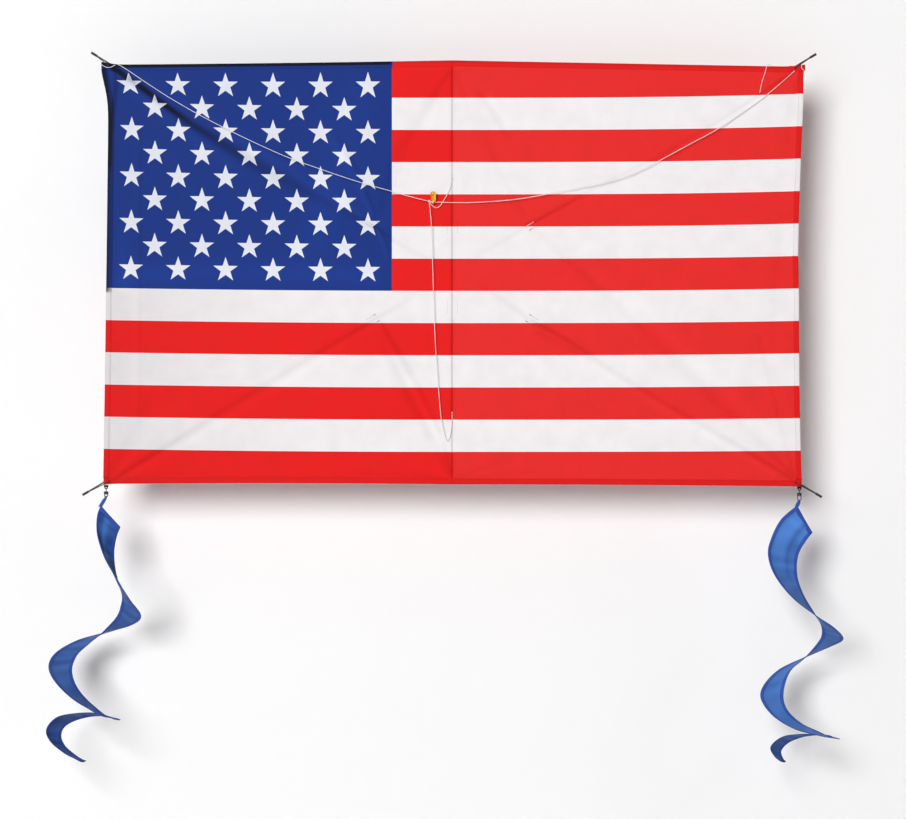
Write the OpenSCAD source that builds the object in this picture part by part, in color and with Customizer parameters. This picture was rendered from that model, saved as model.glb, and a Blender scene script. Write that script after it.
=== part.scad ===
// A flat rectangular flag kite: a two-panel sail held open by two crossed
// spars and a spine, with a four-leg bridle in front and two spiral tails.
// +X is the fly side of the flag, +Y is behind the sail and +Z is up. The
// origin is where the spars cross, in the plane of the sail.

/* [Sail] */
// Height of the sail above the spar crossing at its side edges
sail_top = 388; // [380:1:396]
// Depth of the sail below the spar crossing
sail_bottom = 397; // [390:1:404]
// Half the width of the sail
sail_half = 650; // [640:1:660]
// How far the top edge rises at the spine
peak_rise = 5; // [0:1:10]
// How far the side edges are drawn in
side_sag = 6; // [0:1:12]
// Thickness that stands in for the ripstop cloth
cloth_t = 0.6; // [0.4:0.1:0.8]
// Width of the folded hems
hem_w = 10; // [8:1:14]

/* [Frame rods] */
// Diameter of the solid fibreglass rods
rod_d = 3; // [2.6:0.1:3.2]
// Diameter of the ferrule tubes
ferrule_d = 5.2; // [5:0.1:5.6]
// Length of the ferrule tubes
ferrule_l = 60; // [50:5:65]
// Distance along X from the crossing to the ferrule centres
ferrule_x = 75; // [65:1:85]
// Diameter of the end nocks
nock_d = 4.6; // [4.4:0.1:5]
// Length of the end nocks
nock_l = 13; // [11:1:15]

/* [Bridle] */
// Diameter of the bridle cord
cord_d = 1.2; // [1:0.1:1.6]
// Diameter of the knot where the legs meet
knot_d = 5.2; // [4.8:0.1:5.6]
// Radius of the eye that the flying line clips into
tow_eye_r = 2.6; // [2.2:0.1:2.8]
// Thickness of the tow clip
clip_t = 3.6; // [3:0.1:4]

/* [Tails] */
// Thickness that stands in for the tail cloth
tail_t = 0.8; // [0.6:0.1:1]
// Radius of the barrel swivels
barrel_r = 4.2; // [3.8:0.1:4.4]
// Steps between the stations of the tail cloth
tail_steps = 4; // [3:1:5]

/* [Hidden] */
// Corner of the sail, tip of its spar, and knot of its tension loop, all [x, z].
CORNERS = [
    ["top_left", [-650, 388], [-671, 408], [-643, 386.5]],
    ["top_right", [653, 385], [675.5, 405.2], [640, 381]],
    ["bottom_left", [-650, -396], [-687, -414], [-641, -391]],
    ["bottom_right", [648, -399], [686, -418], [640, -393]]
];
// Hole in each bottom corner's webbing, from which a tail hangs.
TAIL_HOLES = [["left", [-646, -402.6]], ["right", [647, -405.4]]];

rod_r = rod_d / 2;
cord_r = cord_d / 2;
half_t = cloth_t / 2;
hem_t = 0.4;
patch_t = 0.4;
hem_back = half_t + hem_t;
patch_back = hem_back + patch_t;
spine_y = 2.9;
falling_y = 6.2;
rising_y = 9.5;
tip_y = 3.5;
rod_gap = 0.3;
sleeve_wall = 0.5;
sleeve_r = rod_r + rod_gap + sleeve_wall;
edge_steps = 12;
keeper_x = 143.6;
keeper_z = 88;
keeper_l = 22;
tunnel_l = 30;
tunnel_reach = 34;
bottom_reach = 35;
strand_r = 0.6;

// Slope of a spar away from the sail, from its tip to the crossing.
function spar_y(y0, x) = y0 - (y0 - tip_y) * x / 670;
falling_joint = [ferrule_x, spar_y(falling_y, -ferrule_x), -ferrule_x * 0.6053];
rising_joint = [-ferrule_x, spar_y(rising_y, -ferrule_x), -ferrule_x * 0.6053];
function tip(c) = [c[2][0], tip_y, c[2][1]];
function unit(v) = v / norm(v);

// Routes of the bridle cords, from the sail to the knot.
KNOT = [-43, -12, 131];
LEFT_LEG = [
    [-625, -3, 388], [-614, -3.5, 381.5], [-602, -4, 374], [-583, -5, 361],
    [-553, -6, 341], [-523, -7, 322], [-471, -9, 292], [-415, -10, 263],
    [-360, -11, 236.5], [-303, -12, 211.5], [-240, -12.5, 189], [-176, -13, 167.5],
    [-113, -13, 149.5], [-76, -12.5, 139], [-45.4, -12, 131.6]
];
RIGHT_LEG = [
    [638, -3, 375], [620, -3.5, 359], [598, -4, 340], [573, -5, 320],
    [533, -6, 292.5], [493, -7, 265.5], [436, -8, 234.5], [378, -9, 203],
    [345, -9.3, 187], [312, -9.5, 174], [270, -9.8, 163], [236, -10, 156.5],
    [202, -10, 149.5], [165, -10, 142.5], [133, -9.5, 137], [89, -9, 132],
    [33, -8, 129], [0, -7.5, 129], [-25, -7.5, 129.7], [-36, -7.5, 130.2],
    [-41, -9, 130.6]
];
UPPER_LEG = [
    [0, -1.6, 172], [-4, -3, 159], [-9, -4, 146], [-14, -4.5, 137],
    [-19, -5, 129], [-24, -5.5, 122], [-30, -6, 119.5], [-36, -7, 122], [-41.5, -9.2, 128]
];
LOWER_LEG = [
    [-0.6, -1.6, -264], [-1, -3, -281], [-4, -4.5, -302], [-10, -5.5, -315],
    [-16, -6, -297], [-21, -6.5, -273], [-26, -7, -217], [-30, -7.5, -163],
    [-33, -8, -108], [-36, -9, -15], [-37.6, -9.5, 36], [-39.2, -10, 86],
    [-41, -11, 108], [-43, -12, 127.6]
];
TAG_END = [
    [602, 2.4, 381], [595, 2.4, 385.5], [590, 1.3, 387.6], [587, -1.3, 386.6],
    [585, -2.3, 381], [583, -2.6, 372], [577, -2.8, 354], [573, -2.8, 334]
];
LEFT_HITCH = [[-654, 0.6, 387], [-652, -1.7, 385], [-645, -1.7, 381.8], [-637, -1.7, 382], [-629, -2, 386]];
RIGHT_HITCH = [[652, 0.6, 387.2], [651.5, -1.7, 385], [651, -1.7, 381.5], [653, -1.7, 378], [656.5, 0.6, 376.5]];

// Stations of each tail: [outer edge point, inner edge point].
LEFT_TAIL = [
    [[-656, 0, -436], [-621, 8, -476]], [[-662, -3, -455], [-627, 6, -492]],
    [[-662, -10, -482], [-631, 2, -515]], [[-654, -26, -507], [-630, -8, -535]],
    [[-640, -46, -535], [-626, -20, -555]], [[-613, -76, -572], [-618, -34, -579]],
    [[-595, -58, -606], [-613, -24, -601]], [[-581, -2, -641], [-619, 4, -624]],
    [[-606, 50, -663], [-631, 28, -647]], [[-665, 80, -681], [-661, 42, -678]],
    [[-711, 72, -694], [-684, 42, -697]], [[-746, 42, -714], [-705, 28, -718]],
    [[-753, 0, -735], [-710, 0, -742]], [[-735, -42, -759], [-699, -26, -767]],
    [[-695, -72, -790], [-678, -40, -791]], [[-644, -80, -816], [-646, -40, -819]],
    [[-615, -46, -829], [-638, -12, -828]], [[-629, -8, -831], [-651, 24, -831]],
    [[-668, -2, -823], [-677, 34, -833]], [[-704, -4, -823], [-707, 33, -840]],
    [[-737, -8, -830], [-728, 26, -852]], [[-755, -14, -851], [-732, 12, -868]],
    [[-746, -28, -871], [-722, -2, -884]], [[-720, -42, -890], [-702, -16, -898]],
    [[-699, -48, -900], [-687, -28, -905]], [[-686, -50, -905], [-678, -40, -906]]
];
RIGHT_TAIL = [
    [[643, 0, -436], [672, 6, -486]], [[612, -7, -462], [659, 4, -502]],
    [[593, -14, -497], [646, 0, -524]], [[586, -24, -527], [641, -6, -548]],
    [[596, -44, -563], [643, -14, -575]], [[625, -66, -602], [653, -26, -604]],
    [[666, -76, -634], [673, -34, -638]], [[704, -54, -659], [685, -22, -658]],
    [[728, -4, -684], [689, -2, -677]], [[713, 44, -702], [685, 24, -694]],
    [[667, 74, -726], [662, 34, -723]], [[611, 54, -751], [633, 26, -748]],
    [[575, 0, -785], [617, 0, -785]], [[586, -50, -816], [620, -26, -812]],
    [[626, -74, -842], [645, -34, -837]], [[674, -62, -856], [683, -22, -856]],
    [[719, -24, -868], [696, 8, -865]], [[699, 16, -867], [691, 50, -870]],
    [[652, 18, -865], [663, 56, -874]], [[617, 8, -868], [633, 42, -883]],
    [[593, -8, -884], [616, 22, -896]], [[597, -26, -899], [617, 4, -908]],
    [[608, -34, -907], [620, -14, -911]]
];

// Shared shapes.

// Points between two ends of an edge, bowed sideways by sag at the middle.
function bowed(a, b, sag, inward) =
    [for (i = [0:edge_steps - 1]) let (t = i / edge_steps) a + t * (b - a) + 4 * t * (1 - t) * sag * inward];

// A flat shape drawn in X and Z, from y0 to y0 + t behind the sail.
module upright(y0, t) {
    translate([0, y0 + t, 0])
        rotate([90, 0, 0])
            linear_extrude(height = t)
                children();
}

// A straight round rod between two points.
module rod(p, q, r) {
    d = q - p;
    translate(p)
        rotate([0, acos(d[2] / norm(d)), atan2(d[1], d[0])])
            cylinder(h = norm(d), r = r, $fn = 32);
}

// A tube with a closed wall between two points, open at both ends.
module sleeve(p, q, outer, inner) {
    over = unit(q - p);
    difference() {
        rod(p, q, outer);
        rod(p - over, q + over, inner);
    }
}

// Direction of a route at point i, and a frame across it.
function heading(p, i) = unit(p[min(i + 1, len(p) - 1)] - p[max(i - 1, 0)]);
function side_of(d) = unit(cross(d, [0.13, 0.97, 0.21]));

// A cord of radius r with eight sides, one ring at each point of its route.
module cord(p, r) {
    sides = 8;
    points = [
        for (i = [0:len(p) - 1])
            let (d = heading(p, i), u = side_of(d), v = cross(d, u))
                for (k = [0:sides - 1])
                    p[i] + r * (cos(360 * k / sides) * u + sin(360 * k / sides) * v)
    ];
    walls = [
        for (i = [0:len(p) - 2])
            for (k = [0:sides - 1])
                let (n = (k + 1) % sides)
                    [i * sides + k, (i + 1) * sides + k, (i + 1) * sides + n, i * sides + n]
    ];
    first = [for (k = [0:sides - 1]) k];
    last = [for (k = [sides - 1:-1:0]) (len(p) - 1) * sides + k];
    polyhedron(points = points, faces = concat(walls, [first, last]), convexity = 8);
}

// A smooth curve through the points of p, with n steps between each two.
function blend_at(a, b, c, d, t) =
    0.5 * (2 * b + (c - a) * t + (2 * a - 5 * b + 4 * c - d) * t * t + (3 * b - a - 3 * c + d) * t * t * t);
function smooth(p, n) = [
    for (i = [0:len(p) - 2])
        for (s = [0:n - (i == len(p) - 2 ? 0 : 1)])
            blend_at(p[max(i - 1, 0)], p[i], p[i + 1], p[min(i + 2, len(p) - 1)], s / n)
];

// Sail.

module panel(corner_top, corner_bottom, outward) {
    top = [0, sail_top + peak_rise];
    bottom = [0, -sail_bottom];
    upright(-half_t, cloth_t)
        polygon(concat(
            bowed(top, corner_top, 2.5, [0, -1]),
            bowed(corner_top, corner_bottom, side_sag, [-outward, 0]),
            bowed(corner_bottom, bottom, 0, [0, 0]),
            [bottom]
        ));
}

module sail_left_panel() {
    color("firebrick")
        panel(CORNERS[0][1], CORNERS[2][1], -1);
}

module sail_right_panel() {
    color("red")
        panel(CORNERS[1][1], CORNERS[3][1], 1);
}

module centre_seam_tape() {
    color("firebrick")
        upright(half_t, hem_t)
            translate([-5, -sail_bottom + hem_w + 0.5])
                square([10, sail_top + sail_bottom + peak_rise - 2 * hem_w - 1]);
}

// A hem between two ends, folded to the inside of the sail's edge.
module hem(a, b, sag, inward) {
    outer = concat(bowed(a, b, sag, inward), [b]);
    inner = [for (i = [len(outer) - 1:-1:0]) outer[i] + hem_w * inward];
    upright(half_t, hem_t)
        polygon(concat(outer, inner));
}

module top_hem() {
    peak = [0, sail_top + peak_rise];
    color("midnightblue") {
        hem(CORNERS[0][1], peak, 2.5, [0, -1]);
        hem(peak, CORNERS[1][1], 2.5, [0, -1]);
    }
}

module bottom_hem() {
    bottom = [0, -sail_bottom];
    color("firebrick") {
        hem(CORNERS[2][1], bottom, 0, [0, 1]);
        hem(bottom, CORNERS[3][1], 0, [0, 1]);
    }
}

// The side hems stop short of the top and bottom hems.
module side_hem(c_top, c_bottom, inward) {
    clear = [0, hem_w + 0.5];
    hem(c_top - clear, c_bottom + clear, side_sag - 0.4, inward);
}

module left_hem() {
    color("whitesmoke")
        side_hem(CORNERS[0][1], CORNERS[2][1], [1, 0]);
}

module right_hem() {
    color("whitesmoke")
        side_hem(CORNERS[1][1], CORNERS[3][1], [-1, 0]);
}

// Reinforcement on the back of a corner.
module patch(c) {
    corner = c[1];
    in_x = corner[0] > 0 ? -1 : 1;
    in_z = corner[1] > 0 ? -1 : 1;
    inset = [1.5 * in_x, 1.5 * in_z];
    color("darkred")
        upright(hem_back, patch_t)
            polygon([corner + inset, corner + [56 * in_x, 2 * in_z], corner + [46 * in_x, 16 * in_z],
                     corner + [14 * in_x, 36 * in_z], corner + [2 * in_x, 36 * in_z]]);
}

// A flat strip with a raised middle that the spine runs through.
module spine_cover(z0, z1, wide, closed_z0, closed_z1) {
    hump = 7.6;
    color("darkred")
        difference() {
            union() {
                translate([-wide / 2, hem_back, z0])
                    cube([wide, patch_t, z1 - z0]);
                translate([-hump / 2, hem_back, z0])
                    cube([hump, spine_y + sleeve_r - hem_back, z1 - z0]);
            }
            translate([0, spine_y, z0 + closed_z0])
                cylinder(h = z1 - z0 - closed_z0 - closed_z1, r = rod_r + rod_gap, $fn = 32);
        }
}

module top_spine_pocket() {
    spine_cover(358, 391, 26, -1, 3);
}

module bottom_spine_pocket() {
    spine_cover(-396, -364, 26, 3, -1);
}

module upper_spine_keeper() {
    spine_cover(71, 99, 22, -1, -1);
}

module lower_spine_keeper() {
    spine_cover(-78, -53, 22, -1, -1);
}

// Rods.

module spine_rod() {
    color("dimgray")
        rod([0, spine_y, -392.5], [0, spine_y, 387.5], rod_r);
}

module falling_spar_upper() {
    color("dimgray")
        rod(tip(CORNERS[0]), falling_joint, rod_r);
}

module falling_spar_lower() {
    color("dimgray")
        rod(falling_joint + unit(tip(CORNERS[3]) - falling_joint) * 0.6, tip(CORNERS[3]), rod_r);
}

module rising_spar_upper() {
    color("dimgray")
        rod(tip(CORNERS[1]), rising_joint, rod_r);
}

module rising_spar_lower() {
    color("dimgray")
        rod(rising_joint + unit(tip(CORNERS[2]) - rising_joint) * 0.6, tip(CORNERS[2]), rod_r);
}

module ferrule(joint, from, to) {
    d = unit(unit(to - joint) - unit(from - joint));
    color("silver")
        sleeve(joint - d * ferrule_l / 2, joint + d * ferrule_l / 2, ferrule_d / 2, rod_r + 0.4);
}

module falling_ferrule() {
    ferrule(falling_joint, tip(CORNERS[0]), tip(CORNERS[3]));
}

module rising_ferrule() {
    ferrule(rising_joint, tip(CORNERS[1]), tip(CORNERS[2]));
}

// Centre line of the spar that ends at a corner, and points along it.
function is_falling(c) = c[1][0] * c[1][1] < 0;
function spar_joint(c) = is_falling(c) ? falling_joint : rising_joint;
function inward(c) = unit(spar_joint(c) - tip(c));
function along(c, s) = tip(c) + inward(c) * s;

// A slotted cap on the end of a spar.
module nock(c) {
    rim = 1.4;
    slot_w = 1.7;
    slot_deep = 2.6;
    end = tip(c) - inward(c) * (slot_deep + rim);
    color([0.15, 0.15, 0.16])
        difference() {
            rod(end, end + inward(c) * nock_l, nock_d / 2);
            rod(tip(c) - inward(c) * 0.1, tip(c) + inward(c) * nock_l, rod_r + 0.05);
            translate(end)
                rotate([0, -atan2(inward(c)[2], inward(c)[0]), 0])
                    translate([-1, -nock_d, -slot_w / 2])
                        cube([slot_deep + 1, 2 * nock_d, slot_w]);
        }
}

// An elastic loop from the sail's corner, through the slot of the nock and back.
module loop(c) {
    end = tip(c) - inward(c) * 3.1;
    wide = nock_d / 2 + strand_r + 0.25;
    front = end - [0, wide, 0];
    back = end + [0, wide, 0];
    knot = [c[3][0], -half_t - 2.1, c[3][1]];
    behind = [c[3][0], back[1], c[3][1]];
    stitch = [c[3][0], patch_back + 0.1, c[3][1]];
    color([0.1, 0.1, 0.11]) {
        rod(knot, front, strand_r);
        rod(front, back, strand_r);
        rod(back, behind, strand_r);
        rod(behind, stitch, strand_r);
        for (p = [front, back, behind])
            translate(p)
                sphere(r = strand_r + 0.08, $fn = 24);
        translate(knot)
            sphere(r = 2, $fn = 24);
    }
}

// A fabric sleeve round a spar, with a foot that is sewn to the sail.
module sleeve_foot(mid, dir, half, foot_y, foot_w) {
    a = mid - dir * half;
    b = mid + dir * half;
    tilt = -atan2(dir[2], dir[0]);
    color("darkred") {
        sleeve(a, b, sleeve_r, rod_r + rod_gap);
        translate([mid[0], foot_y, mid[2]])
            rotate([0, tilt, 0]) {
                translate([-half, 0, -foot_w / 2])
                    cube([2 * half, patch_t, foot_w]);
                translate([-half, 0, -0.4])
                    cube([2 * half, mid[1] - foot_y - rod_r - rod_gap - sleeve_wall / 2, 0.8]);
            }
    }
}

module tunnel(c) {
    s = c[1][1] > 0 ? 29 + tunnel_reach : 42 + tunnel_reach;
    d = inward(c);
    mid = along(c, s);
    sleeve_foot(mid, d, tunnel_l / 2, hem_back + patch_t, 8);
}

module keeper(c) {
    d = inward(c);
    s = (abs(tip(c)[0]) - keeper_x) / abs(d[0]);
    sleeve_foot(along(c, s), d, keeper_l / 2, half_t, 10);
}

// Webbing under a bottom corner, with the hole that the swivel hangs in.
module webbing(t) {
    x = t[1][0];
    z = t[1][1];
    top = z + 5.4;
    color([0.08, 0.08, 0.09])
        difference() {
            upright(-0.7, 1.4)
                polygon([[x - 4.6, top], [x + 4.6, top], [x + 2.6, z - 2.1], [x - 2.6, z - 2.1]]);
            translate([x, 0, z])
                rotate([90, 0, 0])
                    cylinder(h = 4, r = 1.4, center = true, $fn = 32);
        }
}

// Bridle.

module spine_knot(p) {
    color("white")
        translate([p[0], -half_t - 1.3, p[2]])
            sphere(r = 1.2, $fn = 24);
}

module upper_spine_knot() {
    spine_knot([0, 0, 173.8]);
}

module lower_spine_knot() {
    spine_knot([-0.6, 0, -262]);
}

module upper_bridle_leg() {
    color("white")
        cord(UPPER_LEG, cord_r);
}

module lower_bridle_leg() {
    color("white")
        cord(LOWER_LEG, cord_r);
}

module bridle_tag_end() {
    color("white")
        cord(TAG_END, cord_r);
}

module left_hitch() {
    color("white")
        cord(LEFT_HITCH, cord_r);
}

module right_hitch() {
    color("white")
        cord(RIGHT_HITCH, cord_r);
}

module left_bridle_leg() {
    color("white")
        cord(LEFT_LEG, cord_r);
}

module right_bridle_leg() {
    color("white")
        cord(RIGHT_LEG, cord_r);
}

// The loop that holds the tow clip stands beside the knot.
ring_r = 2.6;
ring_at = KNOT + [7, 0, -0.6];
clip_yaw = 24;

module bridle_knot() {
    color("white") {
        translate(KNOT)
            sphere(r = knot_d / 2 - 0.2, $fn = 32);
        rod(KNOT, ring_at + [-0.3, 0, -ring_r], 0.7);
        translate(ring_at)
            rotate([0, 0, clip_yaw])
                rotate([0, 90, 0])
                    rotate_extrude($fn = 32)
                        translate([ring_r, 0])
                            circle(r = 0.7, $fn = 16);
    }
}

// Two eyes on one plate: the small one rides on the ring, the large one takes the line.
module tow_clip() {
    low = ring_r;
    rise = 11.4;
    small_r = 1.3;
    color("orange")
        translate(ring_at)
            rotate([0, 0, clip_yaw])
                difference() {
                    upright(-clip_t / 2, clip_t)
                        union() {
                            translate([0.6, low + 1.8])
                                circle(r = 4.4, $fn = 48);
                            translate([0, low + rise])
                                circle(r = 5.2, $fn = 48);
                            polygon([[-4.6, low + rise - 2], [-3.6, low + 2.2], [4.9, low + 2.2], [4.8, low + rise - 2]]);
                        }
                    translate([0, 0, low + 0.3])
                        rotate([90, 0, 0])
                            cylinder(h = clip_t + 4, r = small_r, center = true, $fn = 32);
                    translate([0, 0, low + rise])
                        rotate([90, 0, 0])
                            cylinder(h = clip_t + 4, r = tow_eye_r, center = true, $fn = 48);
                }
}

// Tail hardware. Every swivel hangs from the hole in its webbing.
eye_r = 2.2;
eye_wire = 0.55;
eye_drop = eye_r + 0.5;
stem_r = 0.8;
stem_l = 5.2;
hook_wire = 0.8;
hook_half = 3.2;
hook_long = 11;

function eye_at(t) = [t[1][0], 0, t[1][1] - eye_drop];
function barrel_top(t) = eye_at(t)[2] - eye_r - 1.6;
function hook_at(t) = [t[1][0], 0, barrel_top(t) - 5.6 - (t[0] == "left" ? 1.5 : 6)];

module swivel_eye(t) {
    color([0.2, 0.2, 0.21]) {
        translate(eye_at(t))
            rotate([0, 90, 0])
                rotate_extrude($fn = 32)
                    translate([eye_r, 0])
                        circle(r = eye_wire, $fn = 16);
        translate([t[1][0], 0, barrel_top(t) - 3.4])
            cylinder(h = 5.2, r = stem_r, $fn = 32);
        translate([t[1][0], 0, barrel_top(t) - 4.2])
            cylinder(h = 0.9, r = 1.8, $fn = 32);
    }
}

// Barrel with a captive stem, and a wire hook that the tail's tab hangs on.
module swivel_hook(t) {
    x = t[1][0];
    z = barrel_top(t);
    h = hook_at(t);
    color([0.12, 0.12, 0.13]) {
        difference() {
            translate([x, 0, z - 5.8])
                cylinder(h = 5.8, r = barrel_r, $fn = 48);
            translate([x, 0, z - 2.6])
                cylinder(h = 4, r = stem_r + 0.08, $fn = 32);
            translate([x, 0, z - 4.6])
                cylinder(h = 2, r = 2.1, $fn = 32);
        }
        for (s = [-1, 1])
            rod(h + [s * hook_half, 0, 0], [x + s * hook_half, 0, z - 5.4], hook_wire);
        translate(h)
            rotate([90, 0, 0])
                rotate([0, 0, 180])
                    rotate_extrude(angle = 180, $fn = 48)
                        translate([hook_half, 0])
                            circle(r = hook_wire, $fn = 16);
    }
}

// Folded cloth that turns on the hook and is sewn to the tail.
module tail_tab(t) {
    cloth = t[0] == "left" ? LEFT_TAIL : RIGHT_TAIL;
    bar = hook_at(t) + [0, 0, -hook_half];
    end = cloth[0][0];
    color("royalblue")
        difference() {
            union() {
                translate(bar)
                    rotate([0, 90, 0])
                        cylinder(h = 3.2, r = 2.3, center = true, $fn = 32);
                upright(-0.7, 1.4)
                    polygon([[bar[0] - 1.6, bar[2]], [bar[0] + 1.6, bar[2]], [bar[0] + 1.6, bar[2] - 1.9],
                             [bar[0] + 3.2, bar[2] - 3.4], [end[0] + 3.8, end[2] + 0.8],
                             [end[0] - 3.2, end[2] + 0.8], [bar[0] - 3.2, bar[2] - 3.4], [bar[0] - 1.6, bar[2] - 1.9]]);
            }
            translate(bar)
                rotate([0, 90, 0])
                    cylinder(h = 12, r = 1.5, center = true, $fn = 32);
        }
}

// Cloth strip between the two edges of its stations.
module tail_cloth(t) {
    stations = t[0] == "left" ? LEFT_TAIL : RIGHT_TAIL;
    outer = smooth([for (s = stations) s[0]], tail_steps);
    inner = smooth([for (s = stations) s[1]], tail_steps);
    n = len(outer);
    points = [
        for (i = [0:n - 1])
            let (w = unit(outer[i] - inner[i]),
                 d = unit(outer[min(i + 1, n - 1)] + inner[min(i + 1, n - 1)]
                          - outer[max(i - 1, 0)] - inner[max(i - 1, 0)]),
                 up = unit(cross(w, d)) * tail_t / 2)
                each [outer[i] + up, inner[i] + up, inner[i] - up, outer[i] - up]
    ];
    // Both faces are split along the same diagonal, so that a twisted stretch keeps its thickness.
    walls = [
        for (i = [0:n - 2])
            for (k = [0:3])
                let (m = (k + 1) % 4, a = 4 * i + k, b = 4 * i + m, c = b + 4, d = a + 4)
                    each k == 2 ? [[a, b, d], [b, c, d]] : [[a, b, c], [a, c, d]]
    ];
    ends = [[3, 2, 1], [3, 1, 0], [4 * n - 4, 4 * n - 3, 4 * n - 2], [4 * n - 4, 4 * n - 2, 4 * n - 1]];
    color("royalblue")
        polyhedron(points = points, faces = concat(walls, ends), convexity = 10);
}

sail_left_panel();
sail_right_panel();
centre_seam_tape();
top_hem();
bottom_hem();
left_hem();
right_hem();
spine_rod();
top_spine_pocket();
bottom_spine_pocket();
upper_spine_keeper();
lower_spine_keeper();
falling_spar_upper();
falling_spar_lower();
rising_spar_upper();
rising_spar_lower();
falling_ferrule();
rising_ferrule();
for (c = CORNERS) {
    patch(c);
    tunnel(c);
    keeper(c);
    nock(c);
    loop(c);
}
for (t = TAIL_HOLES) {
    webbing(t);
    swivel_eye(t);
    swivel_hook(t);
    tail_tab(t);
    tail_cloth(t);
}
upper_spine_knot();
lower_spine_knot();
upper_bridle_leg();
lower_bridle_leg();
bridle_tag_end();
left_hitch();
right_hitch();
left_bridle_leg();
right_bridle_leg();
bridle_knot();
tow_clip();
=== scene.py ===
"""A flat flag kite: printed sail, hems, rods, bridle, tow clip and two spiral tails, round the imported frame.

Lengths are in metres, in the frame of the CAD model: +X is the fly side, +Y is behind the sail, +Z is up.
"""

import math
import random

import bpy
import numpy as np
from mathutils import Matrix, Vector
from mathutils.geometry import delaunay_2d_cdt


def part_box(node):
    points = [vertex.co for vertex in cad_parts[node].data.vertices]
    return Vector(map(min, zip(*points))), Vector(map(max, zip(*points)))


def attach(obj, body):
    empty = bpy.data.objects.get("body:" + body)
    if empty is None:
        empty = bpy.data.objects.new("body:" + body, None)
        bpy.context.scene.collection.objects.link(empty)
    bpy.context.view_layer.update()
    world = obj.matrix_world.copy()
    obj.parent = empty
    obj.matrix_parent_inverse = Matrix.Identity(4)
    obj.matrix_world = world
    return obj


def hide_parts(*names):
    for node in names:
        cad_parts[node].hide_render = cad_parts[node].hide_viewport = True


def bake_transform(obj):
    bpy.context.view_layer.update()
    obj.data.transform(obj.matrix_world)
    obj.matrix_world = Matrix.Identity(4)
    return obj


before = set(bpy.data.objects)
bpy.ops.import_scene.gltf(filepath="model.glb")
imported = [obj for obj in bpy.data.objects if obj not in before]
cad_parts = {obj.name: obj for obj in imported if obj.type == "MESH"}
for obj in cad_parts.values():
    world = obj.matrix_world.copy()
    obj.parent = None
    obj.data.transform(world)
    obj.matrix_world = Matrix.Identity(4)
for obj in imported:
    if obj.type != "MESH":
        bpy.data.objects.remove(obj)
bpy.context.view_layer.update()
MM = 0.001

# ---------------- sizes in millimetres, shared with the CAD

CORNERS = {
    "top_left": ((-650, 388), (-671, 408)),
    "top_right": ((653, 385), (675.5, 405.2)),
    "bottom_left": ((-650, -396), (-687, -414)),
    "bottom_right": ((648, -399), (686, -418)),
}
PEAK, FOOT = 394.3, -395.4
KEEPER_X, KEEPER_Z = 143.6, 88
SPINE_Y, TIP_Y = 2.9, 3.5
FALLING_Y, RISING_Y = 6.2, 9.5
FERRULE_X = 75
SPAR_REACH, SPAR_SLOPE = 670, 0.6053
SWIVEL_X = {"left": -646, "right": 647}
CORD_D = 1.2 * MM
KNOT = (-43, -12, 131)

LEFT_LEG = [
    (-625, -3, 388), (-614, -3.5, 381.5), (-602, -4, 374), (-583, -5, 361),
    (-553, -6, 341), (-523, -7, 322), (-471, -9, 292), (-415, -10, 263),
    (-360, -11, 236.5), (-303, -12, 211.5), (-240, -12.5, 189), (-176, -13, 167.5),
    (-113, -13, 149.5), (-76, -12.5, 139), (-45.4, -12, 131.6),
]
RIGHT_LEG = [
    (638, -3, 375), (620, -3.5, 359), (598, -4, 340), (573, -5, 320),
    (533, -6, 292.5), (493, -7, 265.5), (436, -8, 234.5), (378, -9, 203),
    (345, -9.3, 187), (312, -9.5, 174), (270, -9.8, 163), (236, -10, 156.5),
    (202, -10, 149.5), (165, -10, 142.5), (133, -9.5, 137), (89, -9, 132),
    (33, -8, 129), (0, -7.5, 129), (-25, -7.5, 129.7), (-36, -7.5, 130.2),
    (-41, -9, 130.6),
]
UPPER_LEG = [
    (0, -1.6, 172), (-4, -3, 159), (-9, -4, 146), (-14, -4.5, 137),
    (-19, -5, 129), (-24, -5.5, 122), (-30, -6, 119.5), (-36, -7, 122), (-41.5, -9.2, 128),
]
LOWER_LEG = [
    (-0.6, -1.6, -264), (-1, -3, -281), (-4, -4.5, -302), (-10, -5.5, -315),
    (-16, -6, -297), (-21, -6.5, -273), (-26, -7, -217), (-30, -7.5, -163),
    (-33, -8, -108), (-36, -9, -15), (-37.6, -9.5, 36), (-39.2, -10, 86),
    (-41, -11, 108), (-43, -12, 127.6),
]
TAG_END = [
    (602, 2.4, 381), (595, 2.4, 385.5), (590, 1.3, 387.6), (587, -1.3, 386.6),
    (585, -2.3, 381), (583, -2.6, 372), (577, -2.8, 354), (573, -2.8, 334),
]
LEFT_HITCH = [(-654, 0.6, 387), (-652, -1.7, 385), (-645, -1.7, 381.8), (-637, -1.7, 382), (-629, -2, 386)]
RIGHT_HITCH = [
    (652, 0.6, 387.2), (651.5, -1.7, 385), (651, -1.7, 381.5), (653, -1.7, 378), (656.5, 0.6, 376.5),
]

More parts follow.
